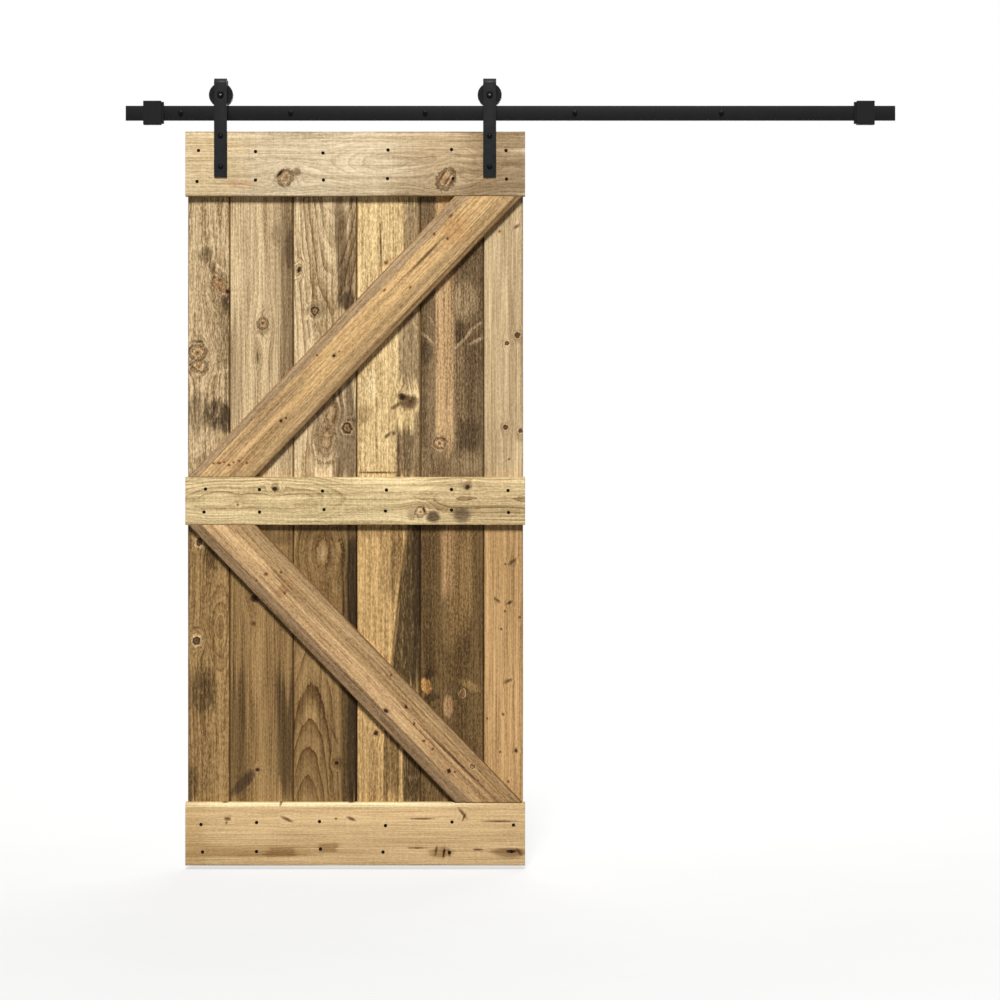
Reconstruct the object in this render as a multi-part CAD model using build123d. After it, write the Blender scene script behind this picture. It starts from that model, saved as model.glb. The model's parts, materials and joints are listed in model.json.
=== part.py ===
from build123d import *
from math import sqrt
import os

# Sliding barn door: a plank leaf with rails and two braces, hung from a flat wall track.
# Millimetres, +Z up. The wall is the plane Y = 0 and the front of the door faces -Y.
# The origin is the centre of the middle standoff's back face, on the wall.

# Leaf
LEAF_HEIGHT = 2134.0
LEAF_CENTRE_X = -203.0
LEAF_TOP_GAP = 33.5  # from the track's lower edge down to the leaf
LEFT_BOARD_WIDTH = 122.0
MIDDLE_BOARD_WIDTH = 185.0
RIGHT_BOARD_WIDTH = 115.0
MIDDLE_BOARD_COUNT = 4
BOARD_THICKNESS = 19.0
BOARD_GAP = 1.5  # open joint between two boards
TONGUE_LENGTH = 7.0
TONGUE_THICKNESS = 6.0
TONGUE_CLEARANCE = 0.3
RAIL_THICKNESS = 19.0
RAIL_OVERHANG = 5.5  # rails stand past the shrunken boards at each side
TOP_RAIL_HEIGHT = 188.0
MIDDLE_RAIL_HEIGHT = 140.0
MIDDLE_RAIL_BASE = 990.0  # above the leaf's bottom
BOTTOM_RAIL_HEIGHT = 184.0
BRACE_WIDTH = 142.0
BRACE_INSET = 3.0  # from the board field's sides
EDGE_EASE = 1.5  # chamfer on the timber's front arrises

# Track, standoffs and the lag-bolt holes through them
TRACK_HEIGHT = 43.0
TRACK_THICKNESS = 6.0
TRACK_LEFT_END = 160.0  # past the first lag bolt
TRACK_RIGHT_END = 506.0  # past the last lag bolt
LAG_1_TO_2 = 320.0
LAG_2_TO_3 = 392.0
LAG_3_TO_4 = 436.0
LAG_4_TO_5 = 427.0
LAG_HOLE_DIAMETER = 9.0
STANDOFF_DIAMETER = 22.0
STANDOFF_LENGTH = 38.0
STANDOFF_EASE = 1.0

# End stops
STOP_LENGTH = 52.0
LEFT_STOP_INSET = 52.0  # from the track's left end
RIGHT_STOP_INSET = 61.0  # from the track's right end
STOP_TOP = 14.0  # above the track
STOP_BOTTOM = 12.0  # below the track
STOP_WEB = 8.0  # in front of the track
STOP_LIP_DEPTH = 7.0  # behind the track
STOP_LIP_HEIGHT = 8.0  # overlap on the track's back
STOP_CORNER = 2.5
BUFFER_LENGTH = 7.0
BUFFER_INSET = 3.0

# Wheels
WHEEL_DIAMETER = 70.0
FLANGE_DEPTH = 4.5
FLANGE_THICKNESS = 6.0
FLANGE_TAPER = 1.0
GROOVE_CLEARANCE = 1.0  # each side of the track
ROLLING_GAP = 0.3
RIM_DEPTH = 11.0
HUB_DIAMETER = 24.0
WEB_RECESS = 3.0
WHEEL_EASE = 0.8

# Axles
AXLE_DIAMETER = 10.0
AXLE_CLEARANCE = 0.1
AXLE_HEAD_DIAMETER = 19.0
AXLE_HEAD_HEIGHT = 5.0
AXLE_HEAD_EASE = 1.5
SOCKET_WIDTH = 8.0
SOCKET_DEPTH = 3.0
AXLE_NUT_WIDTH = 17.0
AXLE_NUT_HEIGHT = 8.0
SPACER_DIAMETER = 16.0
SPACER_LENGTH = 4.7
WHEEL_END_PLAY = 0.3

# Strap hangers
LEFT_HANGER_FROM_JOINT = 24.5  # strap's centre line, on the first board
RIGHT_HANGER_FROM_JOINT = 17.5  # strap's centre line, on the last board
STRAP_WIDTH = 38.0
STRAP_THICKNESS = 5.0
STRAP_BEND = 10.0  # inner radius
STRAP_OVER_WHEEL = 8.0
STRAP_LAP = 132.5  # length on the leaf
STRAP_TAIL = 22.0  # back leg below the axle
STRAP_CORNER = 3.0
HANGER_BOLT_DIAMETER = 8.0
HANGER_BOLT_CLEARANCE = 0.3
HANGER_BOLT_EDGE = 14.0  # upper bolt below the leaf's top
HANGER_BOLT_SPACING = 89.0
HANGER_HEAD_DIAMETER = 16.0
HANGER_HEAD_HEIGHT = 4.5
HANGER_NUT_WIDTH = 13.0
HANGER_NUT_HEIGHT = 6.5
NUT_FLANGE_DIAMETER = 19.0
NUT_FLANGE_HEIGHT = 1.6
THREAD_CLEARANCE = 0.1
BOLT_STANDOUT = 2.0  # thread past its nut

# Where the pieces stand, from front to back
WHEEL_WIDTH = TRACK_THICKNESS + 2 * (GROOVE_CLEARANCE + FLANGE_THICKNESS)
STRAP_INSIDE = WHEEL_WIDTH + 2 * (WHEEL_END_PLAY + SPACER_LENGTH)
TRACK_BACK_Y = -STANDOFF_LENGTH
TRACK_FRONT_Y = TRACK_BACK_Y - TRACK_THICKNESS
WHEEL_Y = (TRACK_BACK_Y + TRACK_FRONT_Y) / 2
RAIL_FRONT_Y = WHEEL_Y - STRAP_INSIDE / 2
BOARD_FRONT_Y = RAIL_FRONT_Y + RAIL_THICKNESS
BOARD_BACK_Y = BOARD_FRONT_Y + BOARD_THICKNESS
STRAP_FRONT_Y = RAIL_FRONT_Y - STRAP_THICKNESS
STRAP_BACK_Y = WHEEL_Y + STRAP_INSIDE / 2 + STRAP_THICKNESS

# Heights
TRACK_TOP_Z = TRACK_HEIGHT / 2
LEAF_TOP_Z = -TRACK_HEIGHT / 2 - LEAF_TOP_GAP
LEAF_BOTTOM_Z = LEAF_TOP_Z - LEAF_HEIGHT
GROOVE_RADIUS = WHEEL_DIAMETER / 2 - FLANGE_DEPTH
WHEEL_Z = TRACK_TOP_Z + ROLLING_GAP + GROOVE_RADIUS
STRAP_TOP_Z = WHEEL_Z + WHEEL_DIAMETER / 2 + STRAP_OVER_WHEEL + STRAP_THICKNESS
STRAP_BOTTOM_Z = LEAF_TOP_Z - STRAP_LAP
MIDDLE_RAIL_BOTTOM_Z = LEAF_BOTTOM_Z + MIDDLE_RAIL_BASE
MIDDLE_RAIL_TOP_Z = MIDDLE_RAIL_BOTTOM_Z + MIDDLE_RAIL_HEIGHT
TOP_RAIL_BOTTOM_Z = LEAF_TOP_Z - TOP_RAIL_HEIGHT
BOTTOM_RAIL_TOP_Z = LEAF_BOTTOM_Z + BOTTOM_RAIL_HEIGHT
HANGER_BOLT_Z = (
    LEAF_TOP_Z - HANGER_BOLT_EDGE,
    LEAF_TOP_Z - HANGER_BOLT_EDGE - HANGER_BOLT_SPACING,
)

# Places along the wall
FIELD_WIDTH = LEFT_BOARD_WIDTH + MIDDLE_BOARD_COUNT * MIDDLE_BOARD_WIDTH + RIGHT_BOARD_WIDTH
FIELD_LEFT = LEAF_CENTRE_X - FIELD_WIDTH / 2
FIELD_RIGHT = FIELD_LEFT + FIELD_WIDTH
LAG_X = (-LAG_2_TO_3 - LAG_1_TO_2, -LAG_2_TO_3, 0.0, LAG_3_TO_4, LAG_3_TO_4 + LAG_4_TO_5)
TRACK_LEFT = LAG_X[0] - TRACK_LEFT_END
TRACK_RIGHT = LAG_X[-1] + TRACK_RIGHT_END
HANGER_X = {
    "left": FIELD_LEFT + LEFT_BOARD_WIDTH - LEFT_HANGER_FROM_JOINT,
    "right": FIELD_RIGHT - RIGHT_BOARD_WIDTH + RIGHT_HANGER_FROM_JOINT,
}

# Turns a piece made upright so that its top faces the front
FACE_FRONT = Rot(90, 0, 0)


def block(x_low, x_high, y_front, y_back, z_low, z_high):
    """Square-edged block between two corners."""
    centre = Pos((x_low + x_high) / 2, (y_front + y_back) / 2, (z_low + z_high) / 2)
    return centre * Box(x_high - x_low, y_back - y_front, z_high - z_low)


def hole(diameter, x, z, y_front, y_back):
    """Cylinder along Y, to cut a hole between two depths."""
    length = y_back - y_front
    return Pos(x, (y_front + y_back) / 2, z) * FACE_FRONT * Cylinder(diameter / 2, length)


def ease_front(timber):
    """Timber with its front arrises chamfered."""
    front = timber.faces().sort_by(Axis.Y)[0]
    return chamfer(front.edges(), EDGE_EASE)


def drill_for_hangers(piece, y_front, y_back):
    """Piece with the hanger-bolt holes that cross it."""
    diameter = HANGER_BOLT_DIAMETER + 2 * HANGER_BOLT_CLEARANCE
    for x in HANGER_X.values():
        for z in HANGER_BOLT_Z:
            piece = piece - hole(diameter, x, z, y_front, y_back)
    return piece


def board_edges():
    """X of each joint line, with the field's two sides first and last."""
    edges = [FIELD_LEFT, FIELD_LEFT + LEFT_BOARD_WIDTH]
    for _ in range(MIDDLE_BOARD_COUNT):
        edges.append(edges[-1] + MIDDLE_BOARD_WIDTH)
    edges.append(FIELD_RIGHT)
    return edges


def board(x_left, x_right, grooved, tongued):
    """Upright tongue-and-groove board, its plan profile drawn out to the leaf's height."""
    low = x_left + (BOARD_GAP / 2 if grooved else 0)
    high = x_right - (BOARD_GAP / 2 if tongued else 0)
    middle_y = (BOARD_FRONT_Y + BOARD_BACK_Y) / 2
    plan = Pos((low + high) / 2, middle_y) * Rectangle(high - low, BOARD_THICKNESS)
    plan = chamfer(plan.vertices().group_by(Axis.Y)[0], EDGE_EASE)
    if tongued:
        tongue = Rectangle(TONGUE_LENGTH, TONGUE_THICKNESS, align=(Align.MIN, Align.CENTER))
        plan = plan + Pos(high, middle_y) * tongue
    if grooved:
        depth = TONGUE_LENGTH - BOARD_GAP + TONGUE_CLEARANCE
        height = TONGUE_THICKNESS + 2 * TONGUE_CLEARANCE
        groove = Rectangle(depth, height, align=(Align.MIN, Align.CENTER))
        plan = plan - Pos(low, middle_y) * groove
    timber = extrude(Pos(0, 0, LEAF_BOTTOM_Z) * plan, LEAF_HEIGHT, dir=(0, 0, 1))
    return drill_for_hangers(timber, BOARD_FRONT_Y, BOARD_BACK_Y)


def rail(z_low, z_high):
    """Horizontal rail across the face of the boards."""
    left = FIELD_LEFT - RAIL_OVERHANG
    right = FIELD_RIGHT + RAIL_OVERHANG
    return ease_front(block(left, right, RAIL_FRONT_Y, BOARD_FRONT_Y, z_low, z_high))


def cut_length(span, rise, width):
    """Length of a brace's level end cut, for a brace that spans corner to corner."""
    reach = rise * sqrt(span**2 + rise**2 - width**2)
    return width * (reach - width * span) / (rise**2 - width**2)


def brace(z_left, z_right):
    """Diagonal brace with level ends that butt on two rails, from left end to right end."""
    left = FIELD_LEFT + BRACE_INSET
    right = FIELD_RIGHT - BRACE_INSET
    cut = cut_length(right - left, abs(z_right - z_left), BRACE_WIDTH)
    outline = Polyline(
        (left, z_left),
        (left + cut, z_left),
        (right, z_right),
        (right - cut, z_right),
        close=True,
    )
    face = Plane((0, BOARD_FRONT_Y, 0), x_dir=(1, 0, 0), z_dir=(0, -1, 0)) * make_face(outline)
    return ease_front(extrude(face, RAIL_THICKNESS, dir=(0, -1, 0)))


def track():
    """Flat bar with a hole at each lag bolt."""
    bar = block(TRACK_LEFT, TRACK_RIGHT, TRACK_FRONT_Y, TRACK_BACK_Y, -TRACK_TOP_Z, TRACK_TOP_Z)
    for x in LAG_X:
        bar = bar - hole(LAG_HOLE_DIAMETER, x, 0, TRACK_FRONT_Y, TRACK_BACK_Y)
    return bar


def standoff(x):
    """Round tube that holds the track off the wall."""
    tube = Cylinder(STANDOFF_DIAMETER / 2, STANDOFF_LENGTH)
    tube = chamfer(tube.edges().filter_by(GeomType.CIRCLE), STANDOFF_EASE)
    tube = tube - Cylinder(LAG_HOLE_DIAMETER / 2, STANDOFF_LENGTH)
    return Pos(x, -STANDOFF_LENGTH / 2, 0) * FACE_FRONT * tube


def stop_section(inset):
    """Section of an end stop across the track: a C that hooks round it, from behind Y to Z."""
    front = TRACK_FRONT_Y - STOP_WEB + inset
    back = TRACK_BACK_Y + STOP_LIP_DEPTH - inset
    low = -TRACK_TOP_Z - STOP_BOTTOM + inset
    high = TRACK_TOP_Z + STOP_TOP - inset
    outside = Pos((front + back) / 2, (low + high) / 2) * Rectangle(back - front, high - low)
    outside = fillet(outside.vertices(), STOP_CORNER)
    bar = Pos(WHEEL_Y, 0) * Rectangle(TRACK_THICKNESS, TRACK_HEIGHT)
    mouth = Rectangle(
        STOP_LIP_DEPTH, TRACK_HEIGHT - 2 * STOP_LIP_HEIGHT, align=(Align.MIN, Align.CENTER)
    )
    return outside - bar - Pos(TRACK_BACK_Y, 0) * mouth


def along_track(section, x_low, x_high):
    """Section across the track drawn out between two places along it."""
    plane = Plane((x_low, 0, 0), x_dir=(0, 1, 0), z_dir=(1, 0, 0))
    return extrude(plane * section, x_high - x_low, dir=(1, 0, 0))


def end_stop(outer_x, towards_middle):
    """End stop and its buffer, from its outer face towards the track's middle."""
    inner_x = outer_x + towards_middle * STOP_LENGTH
    buffer_x = inner_x + towards_middle * BUFFER_LENGTH
    clamp = along_track(stop_section(0), min(outer_x, inner_x), max(outer_x, inner_x))
    pad = along_track(stop_section(BUFFER_INSET), min(inner_x, buffer_x), max(inner_x, buffer_x))
    return clamp, pad


def at_axle(x, piece):
    """Piece made upright about its own centre, turned and put on an axle's line."""
    return Pos(x, WHEEL_Y, WHEEL_Z) * FACE_FRONT * piece


def wheel(x):
    """Grooved wheel with a hub, a thinner web and two flanges, turned from its half section."""
    bore = AXLE_DIAMETER / 2 + AXLE_CLEARANCE
    hub = HUB_DIAMETER / 2
    rim = WHEEL_DIAMETER / 2
    rim_inside = rim - RIM_DEPTH
    side = WHEEL_WIDTH / 2
    web = side - WEB_RECESS
    groove = TRACK_THICKNESS / 2 + GROOVE_CLEARANCE
    half = Polyline(
        (bore, 0),
        (bore, side),
        (hub, side),
        (hub, web),
        (rim_inside, web),
        (rim_inside, side),
        (rim - WHEEL_EASE, side),
        (rim, side - WHEEL_EASE),
        (rim, groove + FLANGE_TAPER),
        (GROOVE_RADIUS, groove),
        (GROOVE_RADIUS, 0),
        close=True,
    )
    front = revolve(Plane.XZ * make_face(half), axis=Axis.Z)
    return at_axle(x, front + mirror(front, about=Plane.XY))


def spacers(x):
    """Two rings that keep the wheel central between the strap's legs."""
    ring = Cylinder(SPACER_DIAMETER / 2, SPACER_LENGTH)
    ring = ring - Cylinder(AXLE_DIAMETER / 2 + AXLE_CLEARANCE, SPACER_LENGTH)
    offset_y = STRAP_INSIDE / 2 - SPACER_LENGTH / 2
    return Compound([at_axle(x, Pos(0, 0, side * offset_y) * ring) for side in (1, -1)])


def axle_bolt(x):
    """Shoulder bolt with a low round head and a hexagon socket, its head on the strap's front."""
    seat = STRAP_INSIDE / 2 + STRAP_THICKNESS
    head = Cylinder(
        AXLE_HEAD_DIAMETER / 2, AXLE_HEAD_HEIGHT, align=(Align.CENTER, Align.CENTER, Align.MIN)
    )
    head = fillet(head.edges().sort_by(Axis.Z)[-1], AXLE_HEAD_EASE)
    socket = extrude(RegularPolygon(SOCKET_WIDTH / 2, 6, major_radius=False), SOCKET_DEPTH)
    head = head - Pos(0, 0, AXLE_HEAD_HEIGHT - SOCKET_DEPTH) * socket
    length = 2 * seat + AXLE_NUT_HEIGHT + BOLT_STANDOUT
    shank = Cylinder(AXLE_DIAMETER / 2, length, align=(Align.CENTER, Align.CENTER, Align.MAX))
    return at_axle(x, Pos(0, 0, seat) * (head + shank))


def hexagon_nut(width, height, bolt_diameter):
    """Hexagon nut standing on its seat, with its bore clear of the bolt."""
    blank = extrude(RegularPolygon(width / 2, 6, major_radius=False), height)
    return blank - Pos(0, 0, height / 2) * Cylinder(bolt_diameter / 2 + THREAD_CLEARANCE, height)


def axle_nut(x):
    """Nut on the back of the strap."""
    seat = STRAP_INSIDE / 2 + STRAP_THICKNESS
    nut = hexagon_nut(AXLE_NUT_WIDTH, AXLE_NUT_HEIGHT, AXLE_DIAMETER)
    return at_axle(x, Pos(0, 0, -seat) * Rot(180, 0, 0) * nut)


def strap(x):
    """Flat bar bent over the wheel, with a long leg on the leaf and a short leg behind."""
    half = STRAP_THICKNESS / 2
    front = STRAP_FRONT_Y + half
    back = STRAP_BACK_Y - half
    top = STRAP_TOP_Z - half
    tail = WHEEL_Z - STRAP_TAIL
    path = FilletPolyline(
        (x, front, STRAP_BOTTOM_Z),
        (x, front, top),
        (x, back, top),
        (x, back, tail),
        radius=STRAP_BEND + half,
    )
    start = Plane((x, front, STRAP_BOTTOM_Z), x_dir=(1, 0, 0), z_dir=(0, 0, 1))
    bar = sweep(start * Rectangle(STRAP_WIDTH, STRAP_THICKNESS), path=path)
    ends = bar.faces().filter_by(Axis.Z).sort_by(Axis.Z)[:2]
    corners = ShapeList([edge for end in ends for edge in end.edges().filter_by(Axis.Y)])
    bar = fillet(corners, STRAP_CORNER)
    axle_hole = AXLE_DIAMETER + 2 * AXLE_CLEARANCE
    bar = bar - hole(axle_hole, x, WHEEL_Z, STRAP_FRONT_Y, STRAP_BACK_Y)
    return drill_for_hangers(bar, STRAP_FRONT_Y, RAIL_FRONT_Y)


def hanger_bolt(x, z):
    """Dome-headed bolt through the strap, the top rail and a board."""
    rise = HANGER_HEAD_HEIGHT
    dome = (HANGER_HEAD_DIAMETER**2 / 4 + rise**2) / (2 * rise)
    ball = Pos(0, 0, rise - dome) * Sphere(dome)
    head = ball & Cylinder(
        HANGER_HEAD_DIAMETER, rise, align=(Align.CENTER, Align.CENTER, Align.MIN)
    )
    grip = BOARD_BACK_Y - STRAP_FRONT_Y
    length = grip + NUT_FLANGE_HEIGHT + HANGER_NUT_HEIGHT + BOLT_STANDOUT
    shank = Cylinder(
        HANGER_BOLT_DIAMETER / 2, length, align=(Align.CENTER, Align.CENTER, Align.MAX)
    )
    return Pos(x, STRAP_FRONT_Y, z) * FACE_FRONT * (head + shank)


def hanger_nut(x, z):
    """Flanged nut on the back of a board."""
    nut = hexagon_nut(HANGER_NUT_WIDTH, HANGER_NUT_HEIGHT, HANGER_BOLT_DIAMETER)
    bore = HANGER_BOLT_DIAMETER / 2 + THREAD_CLEARANCE
    centre_z = NUT_FLANGE_HEIGHT / 2
    flange = Pos(0, 0, centre_z) * Cylinder(NUT_FLANGE_DIAMETER / 2, NUT_FLANGE_HEIGHT)
    flange = flange - Pos(0, 0, centre_z) * Cylinder(bore, NUT_FLANGE_HEIGHT)
    whole = flange + Pos(0, 0, NUT_FLANGE_HEIGHT) * nut
    return Pos(x, BOARD_BACK_Y, z) * FACE_FRONT * Rot(180, 0, 0) * whole


def leaf_pieces():
    """Boards from left to right, then the rails and braces."""
    pieces = {}
    edges = board_edges()
    count = len(edges) - 1
    for number in range(count):
        grooved = number > 0
        tongued = number < count - 1
        timber = board(edges[number], edges[number + 1], grooved, tongued)
        pieces[f"board_{number + 1}"] = timber
    top_rail = rail(TOP_RAIL_BOTTOM_Z, LEAF_TOP_Z)
    pieces["top_rail"] = drill_for_hangers(top_rail, RAIL_FRONT_Y, BOARD_FRONT_Y)
    pieces["middle_rail"] = rail(MIDDLE_RAIL_BOTTOM_Z, MIDDLE_RAIL_TOP_Z)
    pieces["bottom_rail"] = rail(LEAF_BOTTOM_Z, BOTTOM_RAIL_TOP_Z)
    pieces["upper_brace"] = brace(MIDDLE_RAIL_TOP_Z, TOP_RAIL_BOTTOM_Z)
    pieces["lower_brace"] = brace(MIDDLE_RAIL_BOTTOM_Z, BOTTOM_RAIL_TOP_Z)
    return pieces


def hanger_pieces(side):
    """Strap, wheel and fastenings of one hanger."""
    x = HANGER_X[side]
    return {
        f"{side}_strap": strap(x),
        f"{side}_wheel": wheel(x),
        f"{side}_wheel_spacers": spacers(x),
        f"{side}_axle_bolt": axle_bolt(x),
        f"{side}_axle_nut": axle_nut(x),
        f"{side}_hanger_bolts": Compound([hanger_bolt(x, z) for z in HANGER_BOLT_Z]),
        f"{side}_hanger_nuts": Compound([hanger_nut(x, z) for z in HANGER_BOLT_Z]),
    }


def track_pieces():
    """Track with its standoffs, end stops and buffers."""
    pieces = {"track": track()}
    for number, x in enumerate(LAG_X, start=1):
        pieces[f"standoff_{number}"] = standoff(x)
    pieces["left_stop"], pieces["left_stop_buffer"] = end_stop(TRACK_LEFT + LEFT_STOP_INSET, 1)
    pieces["right_stop"], pieces["right_stop_buffer"] = end_stop(
        TRACK_RIGHT - RIGHT_STOP_INSET, -1
    )
    return pieces


def main():
    """Write every piece to its own file."""
    os.makedirs("parts", exist_ok=True)
    pieces = leaf_pieces()
    for side in HANGER_X:
        pieces.update(hanger_pieces(side))
    pieces.update(track_pieces())
    for name, piece in pieces.items():
        export_step(piece, f"parts/{name}.step")


main()
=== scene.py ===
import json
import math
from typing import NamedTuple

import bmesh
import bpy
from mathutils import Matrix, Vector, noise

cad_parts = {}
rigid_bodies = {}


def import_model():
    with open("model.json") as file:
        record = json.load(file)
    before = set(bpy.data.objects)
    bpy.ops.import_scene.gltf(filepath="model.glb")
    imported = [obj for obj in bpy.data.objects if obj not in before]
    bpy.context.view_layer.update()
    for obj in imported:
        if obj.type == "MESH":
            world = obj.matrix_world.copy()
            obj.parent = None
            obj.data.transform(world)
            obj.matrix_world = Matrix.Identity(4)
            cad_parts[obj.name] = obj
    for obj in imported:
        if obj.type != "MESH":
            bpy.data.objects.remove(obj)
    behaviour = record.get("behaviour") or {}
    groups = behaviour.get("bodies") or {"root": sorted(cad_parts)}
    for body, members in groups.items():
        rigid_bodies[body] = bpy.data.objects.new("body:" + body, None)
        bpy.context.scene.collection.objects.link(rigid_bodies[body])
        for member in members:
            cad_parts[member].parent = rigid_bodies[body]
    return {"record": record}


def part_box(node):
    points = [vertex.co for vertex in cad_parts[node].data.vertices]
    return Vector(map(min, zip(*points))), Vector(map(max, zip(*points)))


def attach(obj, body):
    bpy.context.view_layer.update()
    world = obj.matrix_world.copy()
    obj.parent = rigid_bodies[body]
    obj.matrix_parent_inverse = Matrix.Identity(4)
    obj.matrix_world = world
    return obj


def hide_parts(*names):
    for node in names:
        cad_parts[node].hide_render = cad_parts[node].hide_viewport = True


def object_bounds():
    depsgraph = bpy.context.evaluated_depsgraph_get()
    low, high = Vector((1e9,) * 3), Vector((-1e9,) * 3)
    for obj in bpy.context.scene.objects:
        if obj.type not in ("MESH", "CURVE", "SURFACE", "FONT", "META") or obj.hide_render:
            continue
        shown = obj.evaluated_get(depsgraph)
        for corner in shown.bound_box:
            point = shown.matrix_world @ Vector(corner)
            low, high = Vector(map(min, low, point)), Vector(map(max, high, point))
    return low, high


bl_info = {
    "name": "Plank barn door",
    "version": (1, 0, 0),
    "blender": (4, 5, 0),
    "location": "3D View > Sidebar > Barn door",
    "description": "Dresses a sliding plank door with timber, nails, lag bolts and black track hardware",
    "category": "Object",
}

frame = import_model()
CAD_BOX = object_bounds()

# Scale of the photograph: metres a pixel at the rails' front, and the pixel of the frame's origin.
PIXEL = 0.002907
ORIGIN_PX = 425.0
ORIGIN_PY = 112.5
MIDDLE_PX = 500.0
MIDDLE_PY = 500.0
PHOTO_WIDTH_PX = 1000.0

BOARDS = ("board_1", "board_2", "board_3", "board_4", "board_5", "board_6")
RAILS = ("top_rail", "middle_rail", "bottom_rail")
BRACES = ("upper_brace", "lower_brace")
STANDOFFS = ("standoff_1", "standoff_2", "standoff_3", "standoff_4", "standoff_5")
STRAPS = ("left_strap", "right_strap")
STOPS = ("left_stop", "right_stop")
AXLE_BOLTS = ("left_axle_bolt", "right_axle_bolt")

# Sizes that the timber and the straps share with the solids, in metres.
BRACE_WIDTH = 0.142
TONGUE_LENGTH = 0.007
TONGUE_THICKNESS = 0.006
GROOVE_DEPTH = 0.0065
GROOVE_HEIGHT = 0.007
STRAP_THICKNESS = 0.005
STRAP_OUTER_BEND = 0.015
STRAP_TAIL_Z = 0.0303
STRAP_CORNER = 0.003

# Depth scale that lets a knot or stain go straight through a piece of timber.
THROUGH = 1000.0

# Metres within which two points are one, and the angles past which an edge is sharp.
TOUCH = 1e-6
STRAP_TOUCH = 1e-5
SHARP_SHADING = math.radians(32)
SHARP_EDGE = math.radians(60)


def tone(red, green, blue):
    """Linear colour of a tone that is given as it looks on a screen, each channel up to 255."""
    return tuple(((c / 255 + 0.055) / 1.055) ** 2.4 for c in (red, green, blue))


def spot(px, py):
    """X and Z in the frame of a pixel of the photograph, at the rails' front."""
    return (px - ORIGIN_PX) * PIXEL, (ORIGIN_PY - py) * PIXEL


class Knot(NamedTuple):
    """A knot: the pixel of its middle, half its width and height in pixels, its lean and its look."""

    px: float
    py: float
    wide: float
    tall: float
    lean: float = 0.0  # degrees
    look: str = "ringed"
    flow: float = 0.0  # pixels along the grain over which the fibres part


class StainAndPaintedLight(NamedTuple):
    """A patch of other colour, mostly a stain, in places painted shade and a painted highlight: the pixel of
    its middle, half its width and height in pixels.
    """

    px: float
    py: float
    wide: float
    tall: float
    colour: tuple
    strength: float = 0.7
    soft: float = 0.5  # how uneven and faded its rim is
    lean: float = 0.0  # degrees
    square: bool = False


def stripe(px, py, wide, tall, colour, strength=0.7, soft=0.5, lean=0.0):
    """A patch with straight sides and square ends: a stain, in places painted shade and a painted highlight.
    """
    return StainAndPaintedLight(px, py, wide, tall, colour, strength, soft, lean, True)


class Timber(NamedTuple):
    """How a piece of timber lay in its log, in metres, how strong its patterns are, and its marks."""

    pale: tuple  # colour, and on a board its colour above the middle rail
    seed: float  # picks the piece's own patterns
    rings: float  # growth rings a metre
    pith: float  # middle of the log, across the piece
    depth: float  # middle of the log, behind the piece
    contrast: float
    streak: float
    fleck: float
    rim: float
    low: tuple = None  # colour below the middle rail
    lean: float = 0.0  # drift of the pith along the piece
    bow: float = 0.0  # bend of the log
    roll: float = 0.0  # waves of the log
    pits: float = 0.0
    saw: float = 0.0
    grit: float = 0.28
    fibre: float = 0.42
    mottle: float = 0.5
    knots: tuple = ()
    stains_and_painted_light: tuple = ()


class Pattern(NamedTuple):
    """Noise: its repeats a metre across, through and along the grain, its detail, seed and shown span."""

    scale: tuple
    detail: float
    seed: float = 0.0
    start: float = 0.0
    end: float = 0.0


class Coat(NamedTuple):
    """A black finish: its roughness, the depth of its orange peel, the colour of its scuffs, its gleam."""

    rough: float
    peel: float
    worn: tuple
    gleam: float = 0.14


def greyed(level):
    """Tone of weathered wood in the upper half of the leaf, by its red level, browner where it is dark."""
    return tone(level, level * (0.74 + 0.0006 * level), level * (0.45 + 0.001 * level))


def browned(level):
    """Tone of stained wood in the lower half of the leaf, by its red level, browner where it is dark."""
    return tone(level, level * (0.73 + 0.0004 * level), level * (0.38 + 0.0008 * level))


# Patterns of the wood, the step of their seeds from one piece to the next, and how rough all noise is.
CLOUDS = Pattern((11, 11, 2.2), 3.0, 3.1)
STREAKS = Pattern((85, 50, 1.9), 5.0, 4.3, 0.3, 0.7)
FIBRES = Pattern((270, 160, 5), 3.0, 5.9, 0.34, 0.66)
FLECKS = Pattern((300, 140, 45), 2.0, 6.7, 0.5, 0.68)
GRIT = Pattern((250, 180, 105), 2.0, 13.1, 0.32, 0.68)
PITS = Pattern((420, 300, 260), 1.0, 11.3, 0.64, 0.74)
SAW_MARKS = Pattern((24, 24, 290), 2.0, 12.7, 0.36, 0.64)
LOG_WANDER = Pattern((3.0, 3.0, 1.3), 2.0)
LOG_ROLL = Pattern((1, 1, 3.2), 1.0, 2.1)
RING_RIPPLE = Pattern((34, 34, 9), 3.0, 1.7)
RING_BANDS = Pattern((0.55, 1, 0.5), 3.0, 9.1, 0.32, 0.68)
RING_PATCHES = Pattern((14, 14, 2.4), 2.0, 8.3, 0.36, 0.6)
KNOT_GNARL = Pattern((150, 150, 150), 3.0)
SEED_STEP = 7.3
NOISE_ROUGHNESS = 0.6

# Growth: metres that the pith strays, rings that a ripple shifts, and how knots crowd and part the rings.
PITH_WANDER = 0.03
RIPPLE_RINGS = 0.9
KNOT_RINGS = 2.4
KNOT_CROWD = (3.2, 0.5)
GNARL_SWING = 1.1
FLOW_WIDTHS = 3.2
FLOW_SLIMNESS = 0.6
FLOW_SHARE = 0.8
LATE_SHARPNESS = 3
LATE_TINT = tone(158, 136, 108)

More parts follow.
